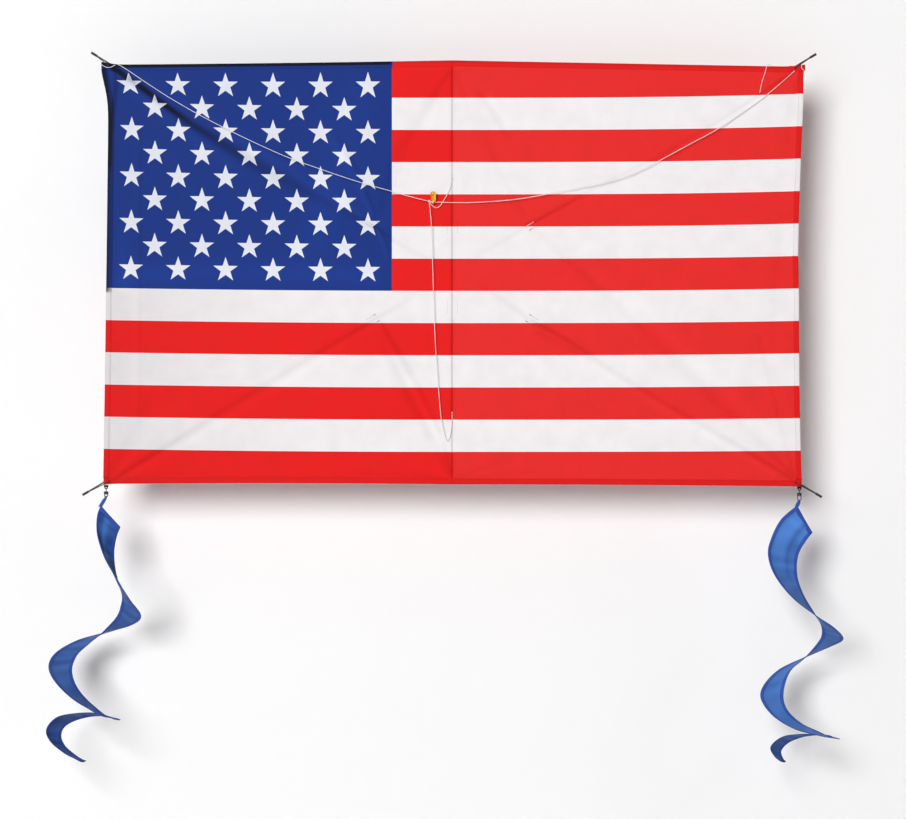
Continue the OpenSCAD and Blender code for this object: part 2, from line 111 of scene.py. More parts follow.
LEFT_TAIL = [
    ((-656, 0, -436), (-621, 8, -476)), ((-662, -3, -455), (-627, 6, -492)),
    ((-662, -10, -482), (-631, 2, -515)), ((-654, -26, -507), (-630, -8, -535)),
    ((-640, -46, -535), (-626, -20, -555)), ((-613, -76, -572), (-618, -34, -579)),
    ((-595, -58, -606), (-613, -24, -601)), ((-581, -2, -641), (-619, 4, -624)),
    ((-606, 50, -663), (-631, 28, -647)), ((-665, 80, -681), (-661, 42, -678)),
    ((-711, 72, -694), (-684, 42, -697)), ((-746, 42, -714), (-705, 28, -718)),
    ((-753, 0, -735), (-710, 0, -742)), ((-735, -42, -759), (-699, -26, -767)),
    ((-695, -72, -790), (-678, -40, -791)), ((-644, -80, -816), (-646, -40, -819)),
    ((-615, -46, -829), (-638, -12, -828)), ((-629, -8, -831), (-651, 24, -831)),
    ((-668, -2, -823), (-677, 34, -833)), ((-704, -4, -823), (-707, 33, -840)),
    ((-737, -8, -830), (-728, 26, -852)), ((-755, -14, -851), (-732, 12, -868)),
    ((-746, -28, -871), (-722, -2, -884)), ((-720, -42, -890), (-702, -16, -898)),
    ((-699, -48, -900), (-687, -28, -905)), ((-686, -50, -905), (-678, -40, -906)),
]
RIGHT_TAIL = [
    ((643, 0, -436), (672, 6, -486)), ((612, -7, -462), (659, 4, -502)),
    ((593, -14, -497), (646, 0, -524)), ((586, -24, -527), (641, -6, -548)),
    ((596, -44, -563), (643, -14, -575)), ((625, -66, -602), (653, -26, -604)),
    ((666, -76, -634), (673, -34, -638)), ((704, -54, -659), (685, -22, -658)),
    ((728, -4, -684), (689, -2, -677)), ((713, 44, -702), (685, 24, -694)),
    ((667, 74, -726), (662, 34, -723)), ((611, 54, -751), (633, 26, -748)),
    ((575, 0, -785), (617, 0, -785)), ((586, -50, -816), (620, -26, -812)),
    ((626, -74, -842), (645, -34, -837)), ((674, -62, -856), (683, -22, -856)),
    ((719, -24, -868), (696, 8, -865)), ((699, 16, -867), (691, 50, -870)),
    ((652, 18, -865), (663, 56, -874)), ((617, 8, -868), (633, 42, -883)),
    ((593, -8, -884), (616, 22, -896)), ((597, -26, -899), (617, 4, -908)),
    ((608, -34, -907), (620, -14, -911)),
]

# ---------------- camera, light and stage

VIEW_WIDTH = 1.690
CAMERA_AT = Vector((0.001, -4.694, -0.2564))
SENSOR = 36.0
FLOOR_Z, WALL_Y, STAGE_REACH = -1.12, 0.17, 6


def make_camera():
    data = bpy.data.cameras.new("camera")
    data.sensor_width = SENSOR
    data.lens = SENSOR * -CAMERA_AT.y / VIEW_WIDTH
    data.clip_start, data.clip_end = 0.05, 60
    camera = bpy.data.objects.new("camera", data)
    camera.location = CAMERA_AT
    camera.rotation_euler = (math.pi / 2, 0, 0)
    bpy.context.collection.objects.link(camera)
    bpy.context.scene.camera = camera


def area_light(name, place, target, size, watts):
    data = bpy.data.lights.new(name, "AREA")
    data.shape = "DISK"
    data.size = size
    data.energy = watts
    lamp = bpy.data.objects.new(name, data)
    lamp.location = place
    lamp.rotation_euler = (Vector(target) - Vector(place)).to_track_quat("-Z", "Y").to_euler()
    bpy.context.collection.objects.link(lamp)


def make_light():
    scene = bpy.context.scene
    scene.view_settings.view_transform = "Standard"
    scene.view_settings.look = "None"
    world = bpy.data.worlds.new("studio")
    world.use_nodes = True
    background = world.node_tree.nodes["Background"]
    background.inputs["Color"].default_value = (1, 1, 1, 1)
    background.inputs["Strength"].default_value = 0.07
    scene.world = world
    area_light("key", (-2.8, -9.3, 2.1), (0, 0, -0.1), 3.8, 775)
    area_light("rim", (2.6, -1.6, 2.2), (0, 0, 0), 0.8, 8)
    area_light("back", (1.2, 4.2, 1.6), (0, 0, -0.2), 2.2, 45)


def stage_plane(name, corners, material):
    """A flat rectangle from its lower left and upper right corners, both the same in y or in z."""
    (x0, y0, z0), (x1, y1, z1) = corners
    mesh = bpy.data.meshes.new(name)
    mesh.from_pydata([(x0, y0, z0), (x1, y0, z0), (x1, y1, z1), (x0, y1, z1)], [], [(0, 1, 2, 3)])
    mesh.materials.append(material)
    plane = bpy.data.objects.new(name, mesh)
    bpy.context.collection.objects.link(plane)
    return plane


def make_stage():
    """A pale floor, and a pale wall that shows only from the front, so that the kite's back can be seen."""
    ground = Paint("studio_paint", (0.8, 0.8, 0.8), 0.9)
    ground.tint(ground.noise(6, 2), (0.78, 0.78, 0.78), (0.81, 0.81, 0.81))
    screen = Paint("studio_wall", (0.98, 0.98, 0.98), 0.9)
    side = screen.nodes.new("ShaderNodeNewGeometry")
    screen.mix_in(screen.nodes.new("ShaderNodeBsdfTransparent"), side.outputs["Backfacing"])
    r = STAGE_REACH
    floor = stage_plane("floor", [(-r, -r, FLOOR_Z), (r, r, FLOOR_Z)], ground.material)
    wall = stage_plane("wall", [(-r, WALL_Y, FLOOR_Z), (r, WALL_Y, r)], screen.material)


# ---------------- materials


class Paint:
    """A node material, with the few kinds of node that the pieces need."""

    def __init__(self, name, colour, roughness):
        self.material = bpy.data.materials.new(name)
        self.material.use_nodes = True
        self.nodes = self.material.node_tree.nodes
        self.links = self.material.node_tree.links
        self.shader = self.nodes["Principled BSDF"]
        self.shader.inputs["Base Color"].default_value = (*colour, 1)
        self.shader.inputs["Roughness"].default_value = roughness

    def feed(self, value, socket):
        """Set a socket to a number, or link an output to it."""
        if isinstance(value, (int, float)):
            socket.default_value = value
        else:
            self.links.new(value, socket)

    def set(self, name, value):
        self.feed(value, self.shader.inputs[name])

    def place(self, stretch=(1, 1, 1)):
        """Where a point is on the object, stretched along each axis."""
        where = self.nodes.new("ShaderNodeTexCoord")
        mapping = self.nodes.new("ShaderNodeMapping")
        mapping.inputs["Scale"].default_value = stretch
        self.links.new(where.outputs["Object"], mapping.inputs["Vector"])
        return mapping.outputs["Vector"]

    def noise(self, scale, detail, stretch=(1, 1, 1)):
        texture = self.nodes.new("ShaderNodeTexNoise")
        texture.inputs["Scale"].default_value = scale
        texture.inputs["Detail"].default_value = detail
        self.links.new(self.place(stretch), texture.inputs["Vector"])
        return texture.outputs["Fac"]

    def threads(self, pitch, axis):
        """Bands across one axis, a thread pitch apart."""
        texture = self.nodes.new("ShaderNodeTexWave")
        texture.bands_direction = axis
        texture.inputs["Scale"].default_value = BANDS_PER_SCALE / pitch
        texture.inputs["Distortion"].default_value = 0.6
        texture.inputs["Detail"].default_value = 1
        self.links.new(self.place(), texture.inputs["Vector"])
        return texture.outputs["Fac"]

    def split(self, vector):
        parts = self.nodes.new("ShaderNodeSeparateXYZ")
        self.links.new(vector, parts.inputs["Vector"])
        return parts.outputs

    def tint(self, factor, dark, light):
        """Base colour between two colours by a factor."""
        ramp = self.nodes.new("ShaderNodeValToRGB")
        for element, colour, position in zip(ramp.color_ramp.elements, (dark, light), (0.3, 0.7)):
            element.color = (*colour, 1)
            element.position = position
        self.links.new(factor, ramp.inputs["Fac"])
        self.set("Base Color", ramp.outputs["Color"])
        return ramp.outputs["Color"]

    def bump(self, height, distance, strength):
        bump = self.nodes.new("ShaderNodeBump")
        bump.inputs["Distance"].default_value = distance
        bump.inputs["Strength"].default_value = strength
        self.links.new(height, bump.inputs["Height"])
        self.set("Normal", bump.outputs["Normal"])

    def combine(self, kind, a, b):
        node = self.nodes.new("ShaderNodeMath")
        node.operation = kind
        self.feed(a, node.inputs[0])
        self.feed(b, node.inputs[1])
        return node.outputs["Value"]

    def span(self, factor, low, high):
        """A factor from 0 to 1 brought to another range."""
        node = self.nodes.new("ShaderNodeMapRange")
        node.inputs["To Min"].default_value = low
        node.inputs["To Max"].default_value = high
        self.links.new(factor, node.inputs["Value"])
        return node.outputs["Result"]

    def mix_in(self, other, share):
        """Give a share of the surface to another shader."""
        mix = self.nodes.new("ShaderNodeMixShader")
        self.feed(share, mix.inputs["Fac"])
        self.links.new(self.shader.outputs["BSDF"], mix.inputs[1])
        self.links.new(other.outputs["BSDF"], mix.inputs[2])
        self.links.new(mix.outputs["Shader"], self.nodes["Material Output"].inputs["Surface"])

    def glow_through(self, hue, share):
        """Let a share of the light through to the other side of the piece."""
        behind = self.nodes.new("ShaderNodeBsdfTranslucent")
        self.links.new(hue, behind.inputs["Color"])
        self.mix_in(behind, share)


BANDS_PER_SCALE = 0.314
BRAID_TURN = 3 * MM
BRAID_STRANDS = 3


def shade(colour, amount):
    return tuple(min(1, c * amount) for c in colour)


def cloth_material(name, colour, roughness=0.62, pitch=0.45 * MM, see_through=0.04, crease=None, falloff_shade=0.0):
    """Plain woven cloth: two sets of threads, faint blotches of dye and a little light through it.

    The last two arguments are how strongly the piece's stored painted crease shade, for red, green and blue,
    and its painted darkening towards the hoist show.
    """
    paint = Paint(name, colour, roughness)
    paint.set("Specular IOR Level", 0.12)
    blotch = paint.noise(26, 3)
    fleck = paint.combine("MULTIPLY", paint.noise(900, 1), 0.3)
    both = paint.combine("ADD", paint.combine("MULTIPLY", blotch, 0.7), fleck)
    hue = paint.tint(both, shade(colour, 0.95), shade(colour, 1.04))
    if crease:
        hue = with_painted_shade(paint, hue, crease, falloff_shade)
        paint.set("Base Color", hue)
    weave = paint.combine("ADD", paint.threads(pitch, "X"), paint.threads(pitch, "Z"))
    paint.bump(weave, 0.05 * MM, 0.3)
    paint.set("Roughness", paint.span(blotch, roughness - 0.06, roughness + 0.08))
    if see_through:
        paint.glow_through(hue, see_through)
    return paint.material


def with_painted_shade(paint, hue, crease, falloff_shade):
    """The colour with the painted shade and light stored on the mesh: painted crease shade and highlight, a
    painted darkening towards the hoist, and a hem's darkness with its painted edge shade.
    """
    stored = paint.nodes.new("ShaderNodeAttribute")
    # the stored tone holds painted shade and painted light
    stored.attribute_name = "tone"
    tone, fall, edge = paint.split(stored.outputs["Vector"])
    falls = paint.combine("ADD", paint.combine("MULTIPLY", fall, falloff_shade), edge)
    colour = paint.nodes.new("ShaderNodeSeparateColor")
    paint.links.new(hue, colour.inputs["Color"])
    mixed = paint.nodes.new("ShaderNodeCombineColor")
    for channel, strength in zip(("Red", "Green", "Blue"), crease):
        folds = paint.combine("MULTIPLY", tone, strength)
        amount = paint.combine("ADD", paint.combine("ADD", folds, falls), 1.0)
        amount = paint.combine("MAXIMUM", amount, DARKEST)
        paint.links.new(paint.combine("MULTIPLY", colour.outputs[channel], amount), mixed.inputs[channel])
    return mixed.outputs["Color"]


def cord_material(name, colour, see_through):
    """Braided cord: crossing spirals of strands, from the tube's own length and turn."""
    paint = Paint(name, colour, 0.62)
    paint.set("Sheen Weight", 0.2)
    where = paint.nodes.new("ShaderNodeUVMap")
    where.uv_map = "tube"
    turn, length, _ = paint.split(where.outputs["UV"])
    strands = []
    for way in (1, -1):
        angle = paint.combine("MULTIPLY", turn, way * math.tau * BRAID_STRANDS)
        along = paint.combine("MULTIPLY", length, math.tau / BRAID_TURN)
        strands.append(paint.combine("SINE", paint.combine("ADD", angle, along), 0))
    braid = paint.combine("MAXIMUM", *strands)
    hue = paint.tint(paint.span(braid, 0.2, 0.8), shade(colour, 0.92), shade(colour, 1.03))
    paint.bump(braid, 0.08 * MM, 0.4)
    paint.glow_through(hue, see_through)
    return paint.material


def plastic_material(name, dark, light, roughness, grain=500):
    paint = Paint(name, dark, roughness)
    cloud = paint.noise(60, 3)
    paint.tint(cloud, dark, light)
    paint.bump(paint.noise(grain, 2), 0.05 * MM, 0.25)
    paint.set("Roughness", paint.span(cloud, roughness - 0.05, roughness + 0.1))
    return paint.material


def metal_material(name, dark, light, roughness, stretch=(1, 1, 1)):
    paint = Paint(name, dark, roughness)
    paint.set("Metallic", 0.9)
    streak = paint.noise(700, 3, stretch)
    paint.tint(streak, dark, light)
    paint.set("Roughness", paint.span(streak, roughness - 0.08, roughness + 0.12))
    paint.bump(streak, 0.02 * MM, 0.3)
    return paint.material


def rod_material():
    """Pultruded fibreglass: dark resin with fine glass streaks along the rods."""
    resin = (0.045, 0.046, 0.047)
    paint = Paint("fibreglass", resin, 0.33)
    streak = paint.noise(320, 4, (0.25, 1, 0.25))
    paint.tint(streak, shade(resin, 0.75), shade(resin, 2.1))
    paint.bump(streak, 0.03 * MM, 0.3)
    paint.set("Roughness", paint.span(streak, 0.26, 0.46))
    return paint.material


def clip_material():
    """Glossy moulded plastic, orange towards low x and yellow towards high x: painted shade on the orange side
    and painted light on the yellow side.
    """
    orange, yellow = (0.86, 0.30, 0.004), (0.96, 0.62, 0.012)
    paint = Paint("clip_plastic", orange, 0.2)
    paint.set("Coat Weight", 0.4)
    low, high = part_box("tow_clip")
    where = paint.nodes.new("ShaderNodeTexCoord")
    ramp = paint.nodes.new("ShaderNodeMapRange")
    ramp.inputs["From Min"].default_value = low.x
    ramp.inputs["From Max"].default_value = high.x
    paint.links.new(paint.split(where.outputs["Object"])["X"], ramp.inputs["Value"])
    cloud = paint.noise(140, 2)
    factor = paint.combine("ADD", ramp.outputs["Result"], paint.combine("SUBTRACT", cloud, 0.5))
    paint.tint(factor, orange, yellow)
    paint.set("Roughness", paint.span(cloud, 0.14, 0.3))
    paint.bump(cloud, 0.05 * MM, 0.2)
    return paint.material


# One red in two copies: darker with painted shade for the left half, paler with painted light for the right
# half. Hems and patches start from the darker one.
RED_SHADED, RED_LIT = (0.84, 0.010, 0.009), (0.84, 0.024, 0.022)
WHITE = (0.93, 0.895, 0.91)
BLUE = (0.008, 0.035, 0.235)
STAR = (0.78, 0.80, 0.88)
HEM_BLUE = (0.006, 0.010, 0.060)
TAIL_BLUE = (0.058, 0.160, 0.49)
TAIL_EDGE = (0.036, 0.090, 0.38)
DARKEST = 0.08


# ---------------- mesh helpers

CLOTH_T = 0.3 * MM
PATCH_T = 0.25 * MM
TUBE_SIDES = 10
PATH_STEPS = 8


def mesh_piece(name, points, faces, materials, kinds=None):
    """A smooth mesh. kinds gives each face's place in the list of materials."""
    mesh = bpy.data.meshes.new(name)
    mesh.from_pydata([tuple(p) for p in points], [], faces)
    for material in materials:
        mesh.materials.append(material)
    if kinds:
        mesh.polygons.foreach_set("material_index", kinds)
    mesh.polygons.foreach_set("use_smooth", [True] * len(faces))
    mesh.validate()
    mesh.update()
    piece = bpy.data.objects.new(name, mesh)
    bpy.context.collection.objects.link(piece)
    return piece


def thicken(piece, thickness):
    """Gives a single layer of cloth its two sides."""
    solid = piece.modifiers.new("cloth", "SOLIDIFY")
    solid.thickness = thickness
    solid.offset = 0
    with bpy.context.temp_override(object=piece, active_object=piece, selected_objects=[piece]):
        bpy.ops.object.modifier_apply(modifier="cloth")


def fix(piece, body, node=None):
    """Says which body carries a piece, and hides the CAD node that it stands for."""
    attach(piece, body)
    if node:
        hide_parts(node)


def store_painted_shades(piece, painted_shades):
    """Stores three numbers of painted shade and light at each point, which the cloth materials read."""
    layer = piece.data.attributes.new("tone", "FLOAT_VECTOR", "POINT")
    for value, tone in zip(layer.data, painted_shades):
        value.vector = tone


def grid_faces(rows, columns):
    """Quads of a grid of points, row after row."""
    starts = [r * columns + c for r in range(rows - 1) for c in range(columns - 1)]
    return [(s, s + 1, s + columns + 1, s + columns) for s in starts]


def steps_between(a, b, count):
    return [a + (b - a) * i / count for i in range(count + 1)]


def pairs(path):
    return list(zip(path, path[1:]))


def closed_pairs(path):
    """Each point with the next one, and the last with the first."""
    return list(zip(path, path[1:] + path[:1]))


def bell(distance, width):
    return math.exp(-((distance / width) ** 2))


def ramp(a, b, t):
    return max(0, min(1, (t - a) / (b - a)))


def catmull(p, i, t):
    a, b, c, d = p[max(i - 1, 0)], p[i], p[i + 1], p[min(i + 2, len(p) - 1)]
    square, cube = 2 * a - 5 * b + 4 * c - d, 3 * b - a - 3 * c + d
    return 0.5 * (2 * b + (c - a) * t + square * t * t + cube * t ** 3)


def smooth_path(points, steps=PATH_STEPS):
    """A smooth path through points in millimetres, as vectors in metres."""
    p = [Vector(q) * MM for q in points]
    path = [catmull(p, i, s / steps) for i in range(len(p) - 1) for s in range(steps)]
    return path + [p[-1]]


def tube(name, path, radius, material):
    """A closed tube along a path, with its turn and length as a UV map."""
    across = (path[1] - path[0]).normalized().orthogonal().normalized()
    points, lengths, run = [], [], 0.0
    for i, p in enumerate(path):
        ahead = (path[min(i + 1, len(path) - 1)] - path[max(i - 1, 0)]).normalized()
        across = (across - ahead * across.dot(ahead)).normalized()
        up = ahead.cross(across)
        for k in range(TUBE_SIDES):
            a = math.tau * k / TUBE_SIDES
            points.append(p + radius * (math.cos(a) * across + math.sin(a) * up))
        if i:
            run += (p - path[i - 1]).length
        lengths.append(run)
    faces, uvs = [], []
    for i, (low, high) in enumerate(pairs(lengths)):
        base = i * TUBE_SIDES
        for k in range(TUBE_SIDES):
            n = (k + 1) % TUBE_SIDES
            faces.append((base + k, base + n, base + TUBE_SIDES + n, base + TUBE_SIDES + k))
            u0, u1 = k / TUBE_SIDES, (k + 1) / TUBE_SIDES
            uvs += [(u0, low), (u1, low), (u1, high), (u0, high)]
    last = (len(path) - 1) * TUBE_SIDES
    faces += [tuple(reversed(range(TUBE_SIDES))), tuple(range(last, last + TUBE_SIDES))]
    uvs += [(0, 0)] * (2 * TUBE_SIDES)
    piece = mesh_piece(name, points, faces, [material])
    layer = piece.data.uv_layers.new(name="tube")
    for loop, uv in zip(layer.data, uvs):
        loop.uv = uv
    return piece


# ---------------- the sail's surface

# Creases of the stretched cloth, each along points (x, z, width, tone) in millimetres. Tone is painted shade
# and
# painted light: how much darker or lighter than flat cloth the crease is painted. The dark ones are valleys,
# the light ones are ridges.
FOLDS_AND_SHADE = [
    # from the top left corner to its keeper, then beside it
    [(-640, 386, 3, -0.8), (-586, 349, 5, -1.25), (-534, 310, 5, -1.2), (-488, 277, 6, -0.75),
     (-381, 209, 11, -0.4), (-288, 160, 12, -0.26), (-213, 120, 9, -0.16), (-143, 83, 4, -0.35)],
    [(-600, 376, 5, 0.08), (-470, 300, 10, 0.12), (-330, 205, 12, 0.15),
     (-240, 150, 10, 0.16), (-160, 98, 4, 0.2)],
    [(-600, 340, 7, 0.1), (-500, 262, 12, 0.12), (-400, 190, 14, 0.08)],
    [(-630, 376, 3, -0.2), (-627, 351, 3.5, -0.5), (-632, 304, 4, -0.5),
     (-636, 256, 4, -0.4), (-638, 190, 4, -0.2)],
    [(-648, 380, 3, -0.4), (-644, 350, 4, -0.3), (-642, 290, 5, -0.25), (-642, 200, 5, -0.15)],
    [(-652, 388, 4, -0.6), (-636, 385, 4, -0.7), (-628, 384, 3, -0.3)],
    [(-637, 380, 2.4, -0.8), (-627, 377, 2.8, -0.9), (-608, 364, 2.6, -0.8), (-604, 361, 2, 0)],
    # painted light: the field is lighter along its foot and hoist
    [(-614, 100, 16, 0.02), (-614, -20, 16, 0.24)],
    [(-600, -6, 22, 0.2), (-420, 0, 26, 0.14), (-150, -6, 20, 0.2)],
    [(-250, 60, 40, 0.12), (-180, 330, 36, 0.1)],
    # from the keeper in the field, up and to the spine
    [(-150, 106, 3, 0.25), (-176, 171, 7, 0.25), (-223, 246, 9, 0.16), (-250, 290, 10, 0)],
    [(-145, 108, 3, -0.15), (-163, 160, 5, -0.25), (-205, 235, 8, -0.2), (-230, 280, 9, 0)],
    [(-134, 120, 6, -0.1), (-102, 227, 9, -0.12), (-55, 302, 8, -0.12), (-6, 372, 4, -0.18)],
    [(-120, 130, 5, -0.05), (-84, 240, 6, -0.08), (-30, 330, 6, -0.1)],
    [(-139, 82, 3, -0.3), (-110, 60, 4, -0.2), (-60, 30, 5, -0.12), (-10, 6, 6, 0)],
    [(-139, 78, 2.5, 0.4), (-128, 50, 3, 0.3), (-121, 18, 4, 0.05)],
    [(-135, 80, 2.5, -0.2), (-121, 50, 3, -0.2), (-112, 25, 4, 0)],
    # from the top right corner to its keeper, two edges with the rod between
    [(640, 376, 3, -0.4), (579, 335, 3, -0.34), (495, 279, 4, -0.2), (383, 214, 4, -0.14),
     (270, 158, 4, -0.18), (150, 92, 3, -0.4)],
    [(570, 316, 3, -0.1), (495, 264, 4, -0.14), (421, 220, 4, -0.1), (300, 168, 4, 0)],
    [(600, 352, 6, 0.05), (520, 288, 7, 0.1), (430, 232, 8, 0.06)],
    [(645, 360, 4, -0.12), (628, 300, 6, -0.1), (622, 200, 6, 0)],
    # from that keeper to the spine's top, the centre and the lower right corner
    [(134, 108, 4, -0.12), (85, 190, 6, -0.1), (48, 300, 7, -0.04)],
    [(50, 334, 4, -0.18), (85, 283, 6, -0.24), (113, 230, 8, 0)],
    [(72, 330, 6, 0.1), (104, 270, 8, 0.06)],
    [(138, 84, 4, -0.2), (80, 50, 5, -0.12), (20, 14, 6, 0)],
    [(150, 84, 5, -0.12), (234, 4, 7, -0.1), (327, -80, 9, -0.1), (439, -192, 10, -0.1),
     (561, -304, 7, -0.12), (637, -381, 4, -0.2)],
    [(260, 6, 10, 0.06), (360, -76, 14, 0.07), (470, -180, 14, 0.07), (590, -300, 9, 0.06)],
    # from the lower left corner to its keeper and the centre
    [(-640, -391, 3, -0.3), (-521, -318, 6, -0.3), (-409, -248, 6, -0.18), (-288, -173, 6, -0.18),
     (-195, -118, 5, -0.24), (-143, -88, 3, -0.45)],
    [(-139, -85, 4, -0.3), (-92, -57, 5, -0.16), (-60, -32, 7, 0)],
    [(-620, -388, 5, 0.08), (-480, -312, 10, 0.1), (-330, -218, 10, 0.08), (-200, -136, 6, 0.08)],
    [(-633, -384, 6, 0.1), (-502, -239, 11, 0.06)],
    [(-638, -376, 6, -0.08), (-566, -239, 10, -0.06)],
    # from that keeper to the spine's foot
    [(-134, -92, 3, -0.28), (-102, -146, 6, -0.28), (-64, -211, 5, -0.2),
     (-18, -304, 3, -0.18), (-3, -374, 3, -0.25)],
    [(-139, -118, 6, -0.05), (-83, -229, 9, -0.2), (-27, -332, 6, -0.14), (-5, -380, 3, -0.1)],
    [(-118, -140, 5, 0.08), (-76, -216, 6, 0.1), (-30, -306, 5, 0.08)],
    # from the lower right corner to its keeper and the centre
    [(640, -390, 3, -0.3), (533, -323, 4, -0.26), (411, -253, 4, -0.2), (318, -197, 4, -0.2),
     (216, -127, 4, -0.28), (148, -90, 3, -0.45)],
    [(141, -85, 4, -0.28), (76, -40, 6, -0.14), (36, -18, 8, 0)],
    [(600, -376, 5, 0.1), (500, -318, 7, 0.1), (380, -246, 8, 0.08), (240, -158, 6, 0.08)],
    [(160, -112, 5, -0.12), (272, -172, 6, -0.1), (360, -226, 7, 0)],
    [(146, -96, 3, 0.05), (140, -170, 6, -0.07), (128, -250, 7, 0)],
    # marks left by folding the kite away, with painted shade along them
    [(-582, 265, 3, -0.1), (-582, 0, 3, -0.12), (-584, -300, 3, -0.06)],
    [(-590, 250, 6, 0.05), (-590, -250, 6, 0.05)],
    [(-512, 153, 2, -0.05), (-512, -34, 2, -0.04)],
    [(607, 60, 6, -0.05), (593, -155, 6, -0.05)],
    [(570, -118, 3, -0.1), (600, -240, 3, -0.12), (636, -376, 3, -0.14)],
    [(598, 300, 3, 0.05), (600, 60, 3, 0.03)],
    # at the spine's ends
    [(5, 372, 3, -0.12), (38, 283, 7, -0.08), (60, 230, 8, 0)],
    [(-4, -384, 3, 0.04), (-101, -341, 6, 0.06)],
    [(8, -384, 3, -0.1), (113, -341, 6, -0.05)],
    [(10, -386, 3, -0.1), (150, -372, 5, -0.04)],
    [(-10, -386, 3, -0.1), (-180, -374, 5, -0.04)],
]
GRID = 2
GRID_X, GRID_Z = 672, 412
FOLD_DEPTH = 2.75
SPINE_SHADE, SPINE_DEPTH, SPINE_W = 0.13, 0.25, 4.4
BULGE_DEPTH, BULGE_LENGTH, BULGE_W = 1.2, 13, 4.5
ROD_ACROSS, ROD_UP = 0.8555, 0.5178
BACK_LIMIT, FRONT_LIMIT = 1.3, -1.6


def add_crease(tone, xs, zs, start, end):
    """Adds one straight stretch of a crease to the grid of painted shade."""
    (x0, z0, w0, t0), (x1, z1, w1, t1) = start, end
    dx, dz = x1 - x0, z1 - z0
    length = math.hypot(dx, dz)
    t = np.clip(((xs - x0) * dx + (zs - z0) * dz) / length ** 2, 0, 1)
    off = np.hypot(xs - x0 - t * dx, zs - z0 - t * dz)
    add = (t0 + (t1 - t0) * t) * np.exp(-((off / (w0 + (w1 - w0) * t)) ** 2))
    return np.where(np.abs(add) > np.abs(tone), add, tone)


def crease_grids():
    """Painted crease shade and depth behind the sail's plane on a grid of points, rows from the bottom up."""
    xs, zs = np.meshgrid(np.arange(-GRID_X, GRID_X + 1, GRID), np.arange(-GRID_Z, GRID_Z + 1, GRID))
    tone, depth = np.zeros(xs.shape), np.zeros(xs.shape)
    for points in FOLDS_AND_SHADE:
        one = np.zeros(xs.shape)
        for start, end in zip(points, points[1:]):
            one = add_crease(one, xs, zs, start, end)
        tone += one
        depth -= one * FOLD_DEPTH
    # painted shade along the spine, where the rod behind darkens the cloth, over a shallow real groove
    spine = np.exp(-((xs - 1) / SPINE_W) ** 2)
    tone -= SPINE_SHADE * spine
    depth += SPINE_DEPTH * spine
    for sx, sz in ((-1, -1), (-1, 1), (1, -1), (1, 1)):
        dx, dz = xs - sx * KEEPER_X, zs - sz * KEEPER_Z
        along = (dx * sx * ROD_ACROSS + dz * sz * ROD_UP) / BULGE_LENGTH
        off = (-dx * sz * ROD_UP + dz * sx * ROD_ACROSS) / BULGE_W
        depth += BULGE_DEPTH * np.exp(-(along ** 2 + off ** 2))
    depth += 0.35 * np.sin(xs / 83 + zs / 140) * np.sin(zs / 71 - xs / 190)
    return tone, np.clip(depth, FRONT_LIMIT, BACK_LIMIT)


CREASE_SHADE_GRID, DEPTH = crease_grids()


def on_grid(grid, x, z):
    c = min(max((x + GRID_X) / GRID, 0), grid.shape[1] - 1.001)
    r = min(max((z + GRID_Z) / GRID, 0), grid.shape[0] - 1.001)
    i, j = int(c), int(r)
    u, v = c - i, r - j
    low = grid[j, i] * (1 - u) + grid[j, i + 1] * u
    high = grid[j + 1, i] * (1 - u) + grid[j + 1, i + 1] * u
    return float(low * (1 - v) + high * v)


def relief(x, z):
    """How far the sail lies behind its plane, in millimetres."""
    return on_grid(DEPTH, x, z)


def painted_falloff(x):
    """Painted shade: the cloth is painted a little darker towards the hoist, where less light reaches it."""
    return -0.03 * ramp(250, -250, x) - 0.18 * max(0, (-x - 230) / 420) ** 1.5


SAIL_HALF, PRINT_HALF, FLY_X = 650, 646, 644.4
STRIPES = 13
STRIPE_H = 60.05
FIRST_LINE = -335.4
ROW_STEPS = 14
CANTON_ACROSS = 113 / PRINT_HALF
CANTON_ROW = 6


def top_edge(side, across):
    """The top edge falls from the spine to each corner, where the corner's loop pulls it up."""
    if side < 0:
        return PEAK - 8 * across - 4 * across * (1 - across) + 5 * bell((1 - across) * SAIL_HALF, 18)
    return PEAK - 12 * across + 4 * bell((1 - across) * SAIL_HALF, 18)


def bottom_edge(side, across):
    if side < 0:
        return FOOT + 0.8 * across + 7.6 * across * (1 - across) - 1.5 * bell((1 - across) * SAIL_HALF, 10)
    return FOOT - 3.9 * across ** 2


def side_edge(side, z):
    """The hoist slants in towards the top and flares at the corner. The fly is drawn in at its middle."""
    if side < 0:
        return -(641 + 10 * ramp(388, -396, z) ** 1.3 + 14 * bell(388 - z, 50))
    if z > 40:
        return FLY_X + 9.6 * ramp(40, 320, z) ** 1.3 + 4 * bell(385 - z, 9)
    return FLY_X + 1.6 * ramp(40, -50, z) + 5.2 * max(0, -z / 390) ** 3


def stripe_line(side, across, row):
    """Height of a line of the print, from 0 at the bottom edge to 13 at the top. They rise to the corners."""
    def inner(r):
        base = FIRST_LINE + (r - 1) * STRIPE_H
        if side < 0:
            high = max(0, base)
            return base + (5.6 + 0.011 * high) * across ** (2 + high / 345)
        return base + (4.9 + 0.0077 * base) * across ** 3

    if row > STRIPES - 1:
        low = inner(STRIPES - 1)
        return low + (top_edge(side, across) - low) * (row - STRIPES + 1)
    if row < 1:
        low = bottom_edge(side, across)
        return low + (inner(1) - low) * row
    return inner(row)


def print_x(side, across, z):
    """The print runs straight, and only its outer part follows the side edge."""
    straight = side * PRINT_HALF
    return straight * across + (side_edge(side, z) - straight) * across ** 8


def sail_point(side, across, row):
    """A point of the sail, in metres."""
    z = stripe_line(side, across, row)
    x = print_x(side, across, z)
    return Vector((x, relief(x, z), z)) * MM


def stripe_is_red(row):
    return int(row) % 2 == 0


